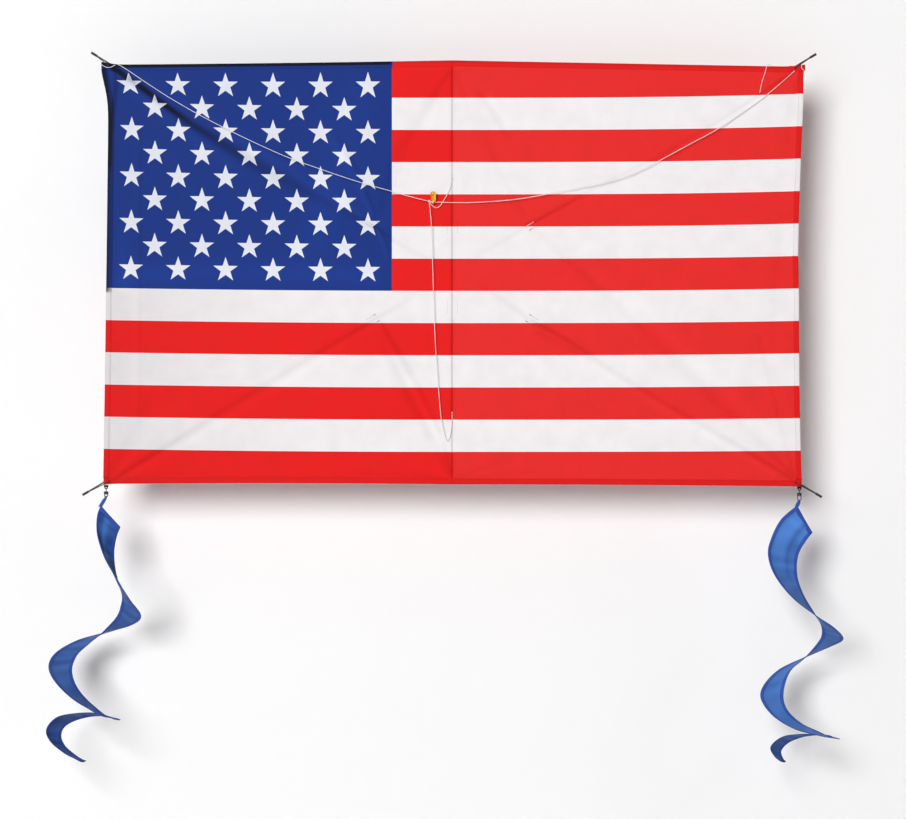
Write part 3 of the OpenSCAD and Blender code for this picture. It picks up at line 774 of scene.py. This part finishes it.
STAR_R, STAR_INNER_R, STAR_REACH = 24.1, 9.4, 28
STAR_X, STAR_PITCH, STAR_SHIFT = 158.6, 89.1, 44.5
STAR_ROW, STAR_ROW_PITCH = 12.33, 0.7145


def star_outline(x, z):
    points = []
    for k in range(10):
        radius = STAR_INNER_R if k % 2 else STAR_R
        a = math.pi / 2 + math.tau * k / 10
        points.append((x + radius * math.cos(a), z + radius * math.sin(a)))
    return points


def make_stars():
    """The stars of the field as (centre, outline), in millimetres from the spine and from the sail's foot."""
    stars = []
    for j in range(9):
        z = (STAR_ROW - STAR_ROW_PITCH * j) * STRIPE_H
        for i in range(6 - j % 2):
            x = STAR_X + STAR_PITCH * i + STAR_SHIFT * (j % 2)
            stars.append(((x, z), star_outline(x, z)))
    return stars


def stars_near(point, stars):
    return [o for c, o in stars if abs(c[0] - point[0]) < STAR_REACH and abs(c[1] - point[1]) < STAR_REACH]


def inside(point, outline):
    hit = False
    for (x0, y0), (x1, y1) in closed_pairs(outline):
        if (y0 > point[1]) != (y1 > point[1]):
            if point[0] < x0 + (point[1] - y0) * (x1 - x0) / (y1 - y0):
                hit = not hit
    return hit


def near_outline(point, outline, reach):
    for (x0, y0), (x1, y1) in closed_pairs(outline):
        dx, dy = x1 - x0, y1 - y0
        t = max(0, min(1, ((point[0] - x0) * dx + (point[1] - y0) * dy) / (dx * dx + dy * dy)))
        if math.hypot(point[0] - x0 - t * dx, point[1] - y0 - t * dy) < reach:
            return True
    return False


def canton_mesh(columns, rows):
    """Triangles of the blue field, cut along the stars.

    Columns and rows are the grid lines that it shares with the stripes. The result is points, as across and
    row, faces, and for each face whether it is on a star.
    """
    stars = make_stars()
    edge_x = {columns[0] * SAIL_HALF, columns[-1] * SAIL_HALF}
    edge_z = {rows[0] * STRIPE_H, rows[-1] * STRIPE_H}
    kept = []
    for p in [(a * SAIL_HALF, r * STRIPE_H) for r in rows for a in columns]:
        on_edge = p[0] in edge_x or p[1] in edge_z
        if on_edge or not any(near_outline(p, o, 1.6) for o in stars_near(p, stars)):
            kept.append(p)
    edges = []
    for _, outline in stars:
        edges += closed_pairs(list(range(len(kept), len(kept) + len(outline))))
        kept += outline
    verts, _, faces, _, _, _ = delaunay_2d_cdt([Vector(p) for p in kept], edges, [], 0, 0.01)
    on_star = []
    for face in faces:
        centre = [sum(verts[i][k] for i in face) / 3 for k in (0, 1)]
        on_star.append(any(inside(centre, o) for o in stars_near(centre, stars)))
    return [(v[0] / SAIL_HALF, v[1] / STRIPE_H) for v in verts], faces, on_star


def store_sail_shade(piece, bands=None):
    """Stores the painted crease shade, the painted darkening towards the hoist and a hem's painted edge shade
    at each point, for the cloth to use.
    """
    places = [(vertex.co.x / MM, vertex.co.z / MM) for vertex in piece.data.vertices]
    bands = bands or [0] * len(places)
    store_painted_shades(piece, [(on_grid(CREASE_SHADE_GRID, x, z), painted_falloff(x), band) for (x, z), band in zip(places, bands)])


def make_panel(side, materials):
    """One half of the sail. materials are red, white, blue and star cloth."""
    rows = [i / ROW_STEPS for i in range(STRIPES * ROW_STEPS + 1)]
    inner = steps_between(0, CANTON_ACROSS, 28)
    outer = steps_between(CANTON_ACROSS, 1, 118)
    columns = inner + outer[1:]
    points, index, faces, kinds = [], {}, [], []

    def at(across, row):
        key = (round(across * 65000), round(row * 1000))
        if key not in index:
            index[key] = len(points)
            points.append(sail_point(side, across, row))
        return index[key]

    def turned(face):
        return face if side > 0 else tuple(reversed(face))

    for r0, r1 in pairs(rows):
        for a0, a1 in pairs(columns):
            if side < 0 and r0 >= CANTON_ROW and a0 >= CANTON_ACROSS - 1e-6:
                continue
            faces.append(turned((at(a0, r0), at(a1, r0), at(a1, r1), at(a0, r1))))
            kinds.append(0 if stripe_is_red(r0) else 1)
    if side < 0:
        places, triangles, on_star = canton_mesh(outer, [r for r in rows if r >= CANTON_ROW])
        ids = [at(a, r) for a, r in places]
        for triangle, star in zip(triangles, on_star):
            faces.append(turned(tuple(ids[i] for i in triangle)))
            kinds.append(3 if star else 2)
    name = "sail_left" if side < 0 else "sail_right"
    panel = mesh_piece(name, points, faces, materials, kinds)
    store_sail_shade(panel)
    thicken(panel, CLOTH_T)
    fix(panel, "root", f"{name}_panel")


# ---------------- hems and their stitches

HEM_W = 10
HEM_T = 0.2 * MM
HEM_PROFILE = [
    (HEM_W + 0.3, -0.25), (HEM_W, -0.42), (HEM_W * 0.5 + 1, -0.5), (HEM_W * 0.5, -0.5),
    (1.2, -0.55), (-0.2, -0.4), (-0.55, 0.1), (-0.2, 0.6), (1.2, 0.75),
    (HEM_W * 0.5, 0.7), (HEM_W - 0.5, 0.62), (HEM_W, 0.4),
]


def hem_strip(name, stations, materials, kinds, band):
    """A folded hem. Each station is (edge point, inward direction) in millimetres, in the plane of the sail.

    band gives how dark the hem is at a distance from its edge: painted shade along the top and the field's
    hoist.
    """
    points, bands = [], []
    for i, ((x, z), (ix, iz)) in enumerate(stations):
        ripple = 0.10 * math.sin(i * 0.9) + 0.06 * math.sin(i * 2.3)
        for d, y in HEM_PROFILE:
            px, pz = x + ix * d, z + iz * d
            points.append(Vector((px, relief(px, pz) + y + ripple * (0.5 if d > 0 else 0), pz)) * MM)
            bands.append(band(px, pz, d))
    columns = len(HEM_PROFILE)
    face_kinds = [k for k in kinds for _ in range(columns - 1)]
    hem = mesh_piece(name, points, grid_faces(len(stations), columns), materials, face_kinds)
    store_sail_shade(hem, bands)
    thicken(hem, HEM_T)
    fix(hem, "root", name)


def top_hem_shade(x, z, distance):
    """Painted shade on the top hem: nearly black along the top of the field's hem, whose inner part is hardly
    darker than the field.
    """
    if x > -CANTON_ACROSS * PRINT_HALF:
        return -0.12 if distance < 5.5 else 0
    return -0.92 if distance < 5.5 else -0.05


def hoist_hem_shade(x, z, distance):
    """Painted shade on the field's hem, darkening softly towards the hoist."""
    if z < FIRST_LINE + (CANTON_ROW - 1) * STRIPE_H:
        return -0.02
    return -0.25 - 0.5 * max(0, 1 - distance / HEM_W)


def plain_band(x, z, distance):
    return -0.06


def make_hems(blue, red, white):
    across = steps_between(0, 1, 110)
    walk = [(-1, a) for a in reversed(across)] + [(1, a) for a in across[1:]]
    for name, edge, band in (("top_hem", top_edge, top_hem_shade), ("bottom_hem", bottom_edge, plain_band)):
        top = name == "top_hem"
        stations, kinds = [], []
        for side, a in walk:
            z = edge(side, a)
            stations.append(((print_x(side, a, z), z), (0, -1 if top else 1)))
            kinds.append(0 if top and side < 0 and a > CANTON_ACROSS + 1e-6 else 1)
        hem_strip(name, stations, [blue, red], kinds[:-1], band)
    inner = [row + k / 12 for row in range(STRIPES) for k in range(12)]
    rows = [0.17] + [row for row in inner if 0.2 < row < 12.78] + [12.8]
    for name, side, band in (("left_hem", -1, hoist_hem_shade), ("right_hem", 1, plain_band)):
        stations, kinds = [], []
        for row in rows:
            z = stripe_line(side, 1, row)
            stations.append(((side_edge(side, z), z), (-side, 0)))
        for low, high in pairs(rows):
            row = (low + high) / 2
            kinds.append(0 if side < 0 and row > CANTON_ROW else (1 if stripe_is_red(row) else 2))
        hem_strip(name, stations, [blue, red, white], kinds, band)


def stitch_row(start, end, lift, length=2.3, gap=1.1, radius=0.17, dip=0.0):
    """Points and faces of a row of stitches on the sail's face, between two points in millimetres."""
    points, faces = [], []
    a, b = Vector(start), Vector(end)
    total = (b - a).length
    along = (b - a).normalized()
    across = Vector((-along.y, along.x))
    count = max(1, int(total / (length + gap)))
    for i in range(count):
        mid = (i + 0.5) / count * total
        base = len(points)
        for s, r in ((-0.5, 0.35), (-0.3, 1), (0.3, 1), (0.5, 0.35)):
            p = a + along * (mid + s * length)
            y = relief(p.x, p.y) - lift + (dip if abs(s) > 0.4 else 0)
            for k in range(5):
                turn = math.tau * k / 5
                q = p + across * (math.cos(turn) * radius * r)
                points.append(Vector((q.x, y - math.sin(turn) * radius * r, q.y)) * MM)
        for ring in range(3):
            for k in range(5):
                n = (k + 1) % 5
                first = base + ring * 5
                faces.append((first + k, first + n, first + 5 + n, first + 5 + k))
        faces += [tuple(base + k for k in reversed(range(5))), tuple(base + 15 + k for k in range(5))]
    return points, faces


def stitch_piece(name, rows, lift, material, slot="hem_cloth", **look):
    points, faces = [], []
    for start, end in rows:
        new_points, new_faces = stitch_row(start, end, lift, **look)
        base = len(points)
        points += new_points
        faces += [tuple(base + i for i in f) for f in new_faces]
    fix(mesh_piece(name, points, faces, [material]), "root")


def make_hem_stitches(thread, field_thread):
    inset = HEM_W - 1.6
    steps = steps_between(0, 1, 30)
    lines, field_lines = [], []
    for side in (-1, 1):
        top = [(print_x(side, a, top_edge(side, a)), top_edge(side, a) - inset) for a in steps[:-1]]
        low = [(print_x(side, a, bottom_edge(side, a)), bottom_edge(side, a) + inset) for a in steps[:-1]]
        edge = [(side_edge(side, z) - side * inset, z) for z in steps_between(-390, 380, 40)]
        for start, end in pairs(top) + pairs(low) + pairs(edge):
            in_field = end[0] < -CANTON_ACROSS * PRINT_HALF and end[1] > -20
            (field_lines if in_field else lines).append((start, end))
    stitch_piece("hem_stitches", lines, 0.72, thread)
    stitch_piece("field_hem_stitches", field_lines, 0.72, field_thread)


# ---------------- patches and tape

PATCH_GRID = 5
PATCH_OUTLINE = ((1.5, 1.5), (56, 2), (46, 16), (14, 36), (2, 36))
PATCH_SEAM = ((53, 4), (44.5, 14.5), (13, 34), (4, 34))


def flat_patch(name, outline, depth, material, node):
    """Cloth that follows the back of the sail at a depth behind it, from its outline in millimetres."""
    points = []
    low_x, low_z = (min(p[k] for p in outline) + PATCH_GRID / 2 for k in (0, 1))
    high_x, high_z = (max(p[k] for p in outline) for k in (0, 1))
    for x in np.arange(low_x, high_x, PATCH_GRID):
        for z in np.arange(low_z, high_z, PATCH_GRID):
            if inside((x, z), outline) and not near_outline((x, z), outline, PATCH_GRID * 0.4):
                points.append((x, z))
    start = len(points)
    for (x0, z0), (x1, z1) in closed_pairs(outline):
        count = max(1, round(math.hypot(x1 - x0, z1 - z0) / PATCH_GRID))
        points += [(x0 + (x1 - x0) * i / count, z0 + (z1 - z0) * i / count) for i in range(count)]
    edges = closed_pairs(list(range(start, len(points))))
    verts, _, faces, _, _, _ = delaunay_2d_cdt([Vector(p) for p in points], edges, [], 1, 0.01)
    solid = [Vector((v[0], relief(v[0], v[1]) + depth, v[1])) * MM for v in verts]
    patch = mesh_piece(name, solid, [tuple(f) for f in faces], [material])
    thicken(patch, PATCH_T)
    fix(patch, "root", node)


def make_patches(cloth, field_cloth, thread):
    rows = []
    for name, (corner, _) in CORNERS.items():
        ix, iz = (-1 if corner[0] > 0 else 1), (-1 if corner[1] > 0 else 1)
        shapes = (PATCH_OUTLINE, PATCH_SEAM)
        outline, seam = ([(corner[0] + ix * dx, corner[1] + iz * dz) for dx, dz in shape] for shape in shapes)
        material = field_cloth if name == "top_left" else cloth
        flat_patch(f"{name}_patch_cloth", outline, 0.95, material, f"{name}_patch")
        rows += pairs(seam)
    stitch_piece("patch_stitches", rows, 0.32, thread, slot="reinforcement_cloth")


def make_tape(cloth):
    outline = [(-5, -386.5), (5, -386.5), (5, 381.5), (-5, 381.5)]
    flat_patch("seam_tape", outline, 0.5, cloth, "centre_seam_tape")


# ---------------- sleeves, keepers and pockets

ROD_R = 1.5
SLEEVE_R = ROD_R + 0.45
SLEEVE_TURNS = 10
SLEEVE_ROWS = 15
CORNER_REACH = 34


def sleeve_profile(rod_y, foot_y, foot_w):
    """Cross-section of cloth that runs up round a rod and down again: (sideways, behind the sail)."""
    left = [(-foot_w, foot_y), (-foot_w * 0.6, foot_y - 0.05), (-SLEEVE_R * 1.15, foot_y + 0.15)]
    arc = []
    for k in range(SLEEVE_TURNS + 1):
        a = math.pi * (1 + 0.12 - (1 + 0.24) * k / SLEEVE_TURNS)
        arc.append((SLEEVE_R * math.cos(a), rod_y + SLEEVE_R * math.sin(a)))
    return left + arc + [(-x, y) for x, y in reversed(left)]


def cloth_sleeve(node, mid, along, half, rod_y, slope, foot, material, seed):
    """A sleeve over a rod, sewn down on both sides.

    slope is the rod's rise per millimetre along it. foot is the sewn edge: its height behind the sail and
    its distance from the rod.
    """
    draw = random.Random(seed)
    waves = [(draw.uniform(0.2, 0.5), draw.uniform(0, 6)) for _ in range(3)]
    across = (-along[1], along[0])
    foot_y, foot_w = foot
    points = []
    for s in steps_between(-half, half, SLEEVE_ROWS - 1):
        profile = sleeve_profile(rod_y + slope * s, foot_y, foot_w)
        for j, (side, y) in enumerate(profile):
            ripple = sum(a * math.sin(s * 0.55 + p + j) for a, p in waves) * 0.18
            if not 0.2 < abs(side) / foot_w < 0.9:
                ripple *= 0.3
            x, z = (mid[k] + along[k] * s + across[k] * side for k in (0, 1))
            lift = relief(x, z) if abs(side) > 2.4 else 0
            points.append(Vector((x, y + lift + ripple, z)) * MM)
    sleeve = mesh_piece(f"{node}_cloth", points, grid_faces(SLEEVE_ROWS, len(profile)), [material])
    thicken(sleeve, PATCH_T)
    fix(sleeve, "root", node)


def rod_line(name):
    """The spar that ends at a corner: its tip, its direction, and its height behind the sail along it."""
    tip = CORNERS[name][1]
    falling = tip[0] * tip[1] < 0
    crossing = FALLING_Y if falling else RISING_Y
    joint_x = FERRULE_X if falling else -FERRULE_X
    joint_y = crossing + (crossing - TIP_Y) * FERRULE_X / SPAR_REACH
    way = Vector((joint_x - tip[0], -FERRULE_X * SPAR_SLOPE - tip[1]))
    length = way.length
    way.normalize()

    def height(s):
        return TIP_Y + (joint_y - TIP_Y) * s / length

    return Vector(tip), way, height


def make_spar_cloth(cloth, field_cloth, white, thread):
    strokes, knots = [], []
    for seed, name in enumerate(CORNERS):
        tip, way, height = rod_line(name)
        slope = height(1) - height(0)
        in_field = name == "top_left"
        tunnel_at = (29 if tip.y > 0 else 42) + CORNER_REACH
        keeper_at = (abs(tip.x) - KEEPER_X) / abs(way.x)
        sleeves = (
            ("tunnel", tunnel_at, 15, (1.25, 6), cloth, seed),
            ("keeper", keeper_at, 11, (0.6, 6.5), white, 10 + seed),
        )
        for kind, reach, half, foot, plain, number in sleeves:
            mid = tip + way * reach
            tone = field_cloth if in_field else plain
            cloth_sleeve(f"{name}_{kind}", mid, way, half, height(reach), slope, foot, tone, number)
        across = Vector((-way.y, way.x))
        for side in (-7, 7):
            inner = mid + across * side + way * 5
            strokes.append((inner, inner - way * 22))
            knots.append((inner, inner - way * 6))
    look = {"slot": "reinforcement_cloth", "dip": 0.2}
    stitch_piece("keeper_stitches", strokes, 0.28, thread, length=2.2, gap=0.5, radius=0.2, **look)
    stitch_piece("keeper_knots", knots, 0.45, thread, length=5.6, gap=0.2, radius=0.55, **look)


def make_spine_cloth(cloth, thread):
    rows = []
    covers = (
        ("top_spine_pocket", 358, 391, 13), ("bottom_spine_pocket", -396, -364, 13),
        ("upper_spine_keeper", 71, 99, 11), ("lower_spine_keeper", -78, -53, 11),
    )
    for seed, (node, low, high, half_w) in enumerate(covers):
        mid, half = (0, (low + high) / 2), (high - low) / 2
        cloth_sleeve(node, mid, (0, 1), half, SPINE_Y, 0, (0.95, half_w), cloth, 20 + seed)
        seam = half_w - 1.5
        rows += [((x, low + 1), (x, high - 1)) for x in (-seam, seam)]
        if "pocket" in node:
            z = high - 2 if low > 0 else low + 2
            rows.append(((-seam, z), (seam, z)))
    stitch_piece("spine_stitches", rows, 0.3, thread, slot="reinforcement_cloth")


# ---------------- bridle


def bridle_cord(name, points, node, material, body=None):
    """A cord along points, carried by a body. Without one, it is baked in place, running from the sail to the
    knot.
    """
    path = smooth_path(points)
    piece = tube(name, path, CORD_D / 2, material)
    if body:
        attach(piece, body)
    else:
        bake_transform(piece)
    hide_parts(node)


def make_bridle(cord):
    bridle_cord("left_leg", LEFT_LEG, "left_bridle_leg", cord, "bridle")
    bridle_cord("right_leg", RIGHT_LEG, "right_bridle_leg", cord, "bridle")
    bridle_cord("upper_leg", UPPER_LEG + [KNOT], "upper_bridle_leg", cord)
    bridle_cord("lower_leg", LOWER_LEG + [KNOT], "lower_bridle_leg", cord)
    bridle_cord("tag_end", TAG_END, "bridle_tag_end", cord, "root")
    for name, points in (("left_hitch", LEFT_HITCH), ("right_hitch", RIGHT_HITCH)):
        fix(tube(f"{name}_cord", smooth_path(points), CORD_D / 2, cord), "root", name)


# ---------------- tails

TAIL_STEPS = 10
TAIL_COLUMNS = 13
TAIL_CUP = 1.8
BINDING_W = 6


def tail_rings(stations):
    """Along a tail: its outer and inner edge, the direction across it and its normal."""
    outer, inner = (smooth_path([s[k] for s in stations], TAIL_STEPS) for k in (0, 1))
    rings = []
    for i, (o, n) in enumerate(zip(outer, inner)):
        before, after = max(i - 1, 0), min(i + 1, len(outer) - 1)
        ahead = (outer[after] + inner[after] - outer[before] - inner[before]).normalized()
        across = (n - o).normalized()
        rings.append((o, n, across, across.cross(ahead).normalized()))
    return rings


def tail_waves(seed):
    """Random waves of the cloth: height, speed along, start, and turn across."""
    draw = random.Random(seed)
    limits = ((0.25, 0.9), (0.12, 0.55), (0, 6.3), (-2.5, 2.5))
    return [tuple(draw.uniform(*limit) for limit in limits) for _ in range(7)]


def cup(u):
    return TAIL_CUP * (1 - (2 * u - 1) ** 2)


def tail_lift(waves, i, u):
    """How far the cloth stands off the straight line between its edges, in millimetres."""
    calm = 1 - abs(2 * u - 1) ** 4
    return cup(u) + calm * sum(a * math.sin(f * i + p + k * u) for a, f, p, k in waves) * 0.6


def tail_painted_shade(side, i, u):
    """Painted light and shade on a tail at a ring and a place across it: how much lighter or darker than plain
    the cloth is painted, with a lit stripe, shaded valleys and wrinkles, a painted glint, and painted shade
    towards the end.
    """
    t = i / TAIL_STEPS
    wrinkle_shade = 0.2 * math.sin(6.1 * t + 2.3 * math.sin(1.7 * t) + 3.5 * u) * math.sin(2.2 * t + 1)
    if side == "left":
        lit_stripe = 0.5 * bell(u - 0.45 + 0.03 * t, 0.15) * (1 - ramp(3.4, 4.6, t))
        valley_shade = -0.2 * bell(u - 0.24, 0.08) * (1 - ramp(3, 4.6, t))
        return lit_stripe + valley_shade + wrinkle_shade - 0.4 + 0.22 * ramp(4, 6, t) - 0.2 * ramp(15.5, 18.5, t)
    # painted light on the upper part, painted shade in a valley, and a painted glint near the top
    light = 0.6 * (1 - ramp(0.5, 4.6, t)) * ramp(0.08, 0.2, u) * (1 - ramp(0.52, 0.62, u))
    valley_shade = -0.25 * bell(u - 0.66, 0.06) * (1 - ramp(3, 4.8, t))
    painted_glint = 0.4 * bell(u - 0.82, 0.07) * bell(t - 0.9, 0.5)
    calm = 0.3 + light + valley_shade + painted_glint + wrinkle_shade - 0.2 * ramp(4.6, 5.4, t) * (1 - ramp(8.5, 9.5, t))
    return calm + 0.2 * ramp(9.5, 11, t) * (1 - ramp(15, 16, t)) - 0.46 * ramp(16.5, 18.5, t)


def tail_strip(name, points, painted_shades, columns, material, thickness):
    """A strip of tail cloth from rows of points, with its painted shade and light stored."""
    strip = mesh_piece(name, points, grid_faces(len(points) // columns, columns), [material])
    store_painted_shades(strip, [(tone, 0, 0) for tone in painted_shades])
    thicken(strip, thickness)
    return strip


def make_tail(side, stations, cloth, edge, seed):
    rings, waves = tail_rings(stations), tail_waves(seed)
    points, painted_shades = [], []
    for i, (o, n, _, normal) in enumerate(rings):
        for u in steps_between(0, 1, TAIL_COLUMNS - 1):
            points.append(o.lerp(n, u) + normal * tail_lift(waves, i, u) * MM)
            painted_shades.append(tail_painted_shade(side, i, u))
    panel = tail_strip(f"{side}_tail_panel", points, painted_shades, TAIL_COLUMNS, cloth, CLOTH_T)
    fix(panel, f"{side}_tail", f"{side}_tail_cloth")
    bindings = [make_binding(side, rings, waves, which, edge) for which in ("outer", "inner")]
    bindings.append(make_top_binding(side, rings, edge))
    for strip in bindings:
        fix(strip, f"{side}_tail")


BINDING_PROFILE = [
    (BINDING_W, 0.35), (BINDING_W - 0.4, 0.5), (BINDING_W * 0.5, 0.6), (1, 0.6), (-0.3, 0.4), (-0.6, 0),
    (-0.3, -0.4), (1, -0.6), (BINDING_W * 0.5, -0.6), (BINDING_W - 0.4, -0.5), (BINDING_W, -0.35),
]


def make_binding(side, rings, waves, which, material):
    """Cloth folded over one long edge of a tail."""
    points, painted_shades = [], []
    for i, (o, n, across, normal) in enumerate(rings):
        width = (n - o).length / MM
        start, inward = (o, across) if which == "outer" else (n, -across)
        squeeze = min(1, 0.42 * width / BINDING_W)
        for d, h in BINDING_PROFILE:
            u = max(0, d * squeeze) / width
            if which == "inner":
                u = 1 - u
            points.append(start + inward * d * squeeze * MM + normal * (tail_lift(waves, i, u) + h) * MM)
            painted_shades.append(0.5 * tail_painted_shade(side, i, u))
    return tail_strip(f"{side}_tail_{which}_binding", points, painted_shades, len(BINDING_PROFILE), material, PATCH_T)


def make_top_binding(side, rings, material):
    """The turned-over end of a tail, along its slanting cut."""
    o, n, _, normal = rings[0]
    o1, n1 = rings[4][0], rings[4][1]
    down = ((o1 - o).normalized() + (n1 - n).normalized()).normalized()
    points, columns = [], 12
    for d, h in [(8, 0.5), (4, 0.75), (0.4, 0.7), (-0.5, 0), (0.4, -0.7), (4, -0.75), (8, -0.5)]:
        for u in steps_between(0, 1, columns - 1):
            points.append(o.lerp(n, u) + down * d * MM + normal * (cup(u) + h * 1.3) * MM)
    return tail_strip(f"{side}_tail_top_binding", points, [0] * len(points), columns, material, PATCH_T)


TAB_R = 2.0 * MM
TAB_W, TAB_FLARE = 3.6, 3.8
TAB_T = 0.45 * MM
TAB_COLUMNS = 7


def make_tab(side, stations, material):
    """Cloth folded over the swivel's hook and sewn to the top corner of the tail."""
    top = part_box(f"{side}_tail_tab")[1]
    bar = Vector((SWIVEL_X[side] * MM, 0, top.z - 2.3 * MM))
    end = Vector(stations[0][0]) * MM
    reach = (bar - end).length + 2 * MM
    down = (end - bar).normalized()
    up_front = [(reach * (1 - k / 8), -1) for k in range(9)]
    over_bar = [(math.pi * k / 8, 0) for k in range(1, 8)]
    down_back = [(reach * k / 8, 1) for k in range(9)]
    points = []
    path = up_front + over_bar + down_back
    for run, layer in path:
        if layer:
            t = run / reach
            centre = bar + down * run + Vector((0, layer * TAB_R * max(0.28, 1 - 1.3 * t), 0))
            width = (TAB_W + TAB_FLARE * min(1, 3 * t)) * MM
        else:
            centre = bar + Vector((0, -math.cos(run) * TAB_R, math.sin(run) * TAB_R))
            width = TAB_W * MM
        for u in steps_between(-0.5, 0.5, TAB_COLUMNS - 1):
            sag = 0.3 * MM * math.cos(u * 9)
            points.append(centre + Vector((u * width, sag * (layer or 0.3), 0)))
    tab = mesh_piece(f"{side}_tail_tab_cloth", points, grid_faces(len(path), TAB_COLUMNS), [material])
    thicken(tab, TAB_T)
    fix(tab, f"{side}_tail", f"{side}_tail_tab")


# ---------------- CAD pieces that keep their shape


def dress(names, material):
    """Gives CAD nodes a finished material."""
    for name in names:
        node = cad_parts[name]
        node.data.materials.clear()
        node.data.materials.append(material)


def corner_names(kind):
    return [f"{corner}_{kind}" for corner in CORNERS]


def dress_hardware():
    spars = [f"{way}_spar_{end}" for way in ("falling", "rising") for end in ("upper", "lower")]
    dress(["spine_rod"] + spars, rod_material())
    ferrule = metal_material("ferrule_metal", (0.55, 0.56, 0.58), (0.75, 0.76, 0.78), 0.32, (0.3, 1, 0.3))
    dress(["falling_ferrule", "rising_ferrule"], ferrule)
    cap = plastic_material("cap_plastic", (0.012, 0.013, 0.014), (0.03, 0.032, 0.034), 0.45)
    dress(corner_names("nock"), cap)
    elastic = plastic_material("elastic", (0.008, 0.008, 0.009), (0.02, 0.02, 0.022), 0.7, 2200)
    dress(corner_names("loop"), elastic)
    webbing = cloth_material("webbing", (0.012, 0.012, 0.014), 0.7, 0.6 * MM, 0)
    dress(["left_webbing", "right_webbing"], webbing)
    swivel = metal_material("black_oxide", (0.02, 0.02, 0.021), (0.09, 0.09, 0.092), 0.34)
    dress([f"{side}_swivel_{part}" for part in ("eye", "hook") for side in ("left", "right")], swivel)
    knot = plastic_material("knot_cord", (0.6, 0.6, 0.58), (0.85, 0.85, 0.83), 0.7, 1500)
    dress(["upper_spine_knot", "lower_spine_knot", "bridle_knot"], knot)
    dress(["tow_clip"], clip_material())


# ---------------- build

make_camera()
make_light()
make_stage()
make_bridle(cord_material("bridle_cord", (0.97, 0.95, 0.96), 0.25))

# How strongly the painted crease shade shows on each colour, for red, green and blue.
RED_CREASE_SHADE, WHITE_CREASE_SHADE, BLUE_CREASE_SHADE = (0.5, 1.5, 1.5), (0.36, 0.35, 0.3), (1, 1, 1)
TAIL_SHADE = (1, 1, 0.75)
HEM_RED, HEM_WHITE = shade(RED_SHADED, 0.95), shade(WHITE, 0.97)

red_shaded_left = cloth_material("red_cloth_shaded_left", RED_SHADED, crease=RED_CREASE_SHADE, falloff_shade=0.5)
red_lit_right = cloth_material("red_cloth_lit_right", RED_LIT, crease=RED_CREASE_SHADE, falloff_shade=0.5)
white_cloth = cloth_material("white_cloth", WHITE, crease=WHITE_CREASE_SHADE, falloff_shade=1)
blue_cloth = cloth_material("blue_cloth", BLUE, crease=BLUE_CREASE_SHADE, falloff_shade=0.3)
star_cloth = cloth_material("star_cloth", STAR, crease=WHITE_CREASE_SHADE, falloff_shade=0.3)
hem_blue = cloth_material("hem_blue", BLUE, see_through=0, crease=BLUE_CREASE_SHADE, falloff_shade=0.3)
hem_red = cloth_material("hem_red", HEM_RED, see_through=0, crease=RED_CREASE_SHADE, falloff_shade=0.5)
hem_white = cloth_material("hem_white", HEM_WHITE, see_through=0, crease=WHITE_CREASE_SHADE, falloff_shade=1)
patch_blue = cloth_material("patch_blue", HEM_BLUE, see_through=0)
patch_red = cloth_material("patch_red", shade(RED_SHADED, 0.9), see_through=0)
patch_white = cloth_material("patch_white", HEM_WHITE, see_through=0)
red_thread = plastic_material("red_thread", (0.22, 0.01, 0.01), (0.3, 0.02, 0.02), 0.7, 2500)
dark_thread = plastic_material("dark_thread", (0.02, 0.015, 0.015), (0.06, 0.03, 0.03), 0.7, 2500)

make_panel(-1, [red_shaded_left, white_cloth, blue_cloth, star_cloth])
make_panel(1, [red_lit_right, white_cloth])
make_hems(hem_blue, hem_red, hem_white)
make_hem_stitches(red_thread, dark_thread)
make_patches(patch_red, patch_blue, dark_thread)
make_tape(patch_red)
make_spar_cloth(patch_red, patch_blue, patch_white, dark_thread)
make_spine_cloth(patch_white, red_thread)

tail_blue = cloth_material("tail_blue", TAIL_BLUE, 0.5, 0.4 * MM, 0.12, crease=TAIL_SHADE)
tail_edge = cloth_material("tail_binding", TAIL_EDGE, 0.55, 0.4 * MM, 0, crease=TAIL_SHADE)
tab_blue = cloth_material("tab_blue", TAIL_EDGE, 0.55, 0.4 * MM, 0)
for tail_side, tail_stations, tail_seed in (("left", LEFT_TAIL, 5), ("right", RIGHT_TAIL, 9)):
    make_tab(tail_side, tail_stations, tab_blue)
    make_tail(tail_side, tail_stations, tail_blue, tail_edge, tail_seed)

dress_hardware()
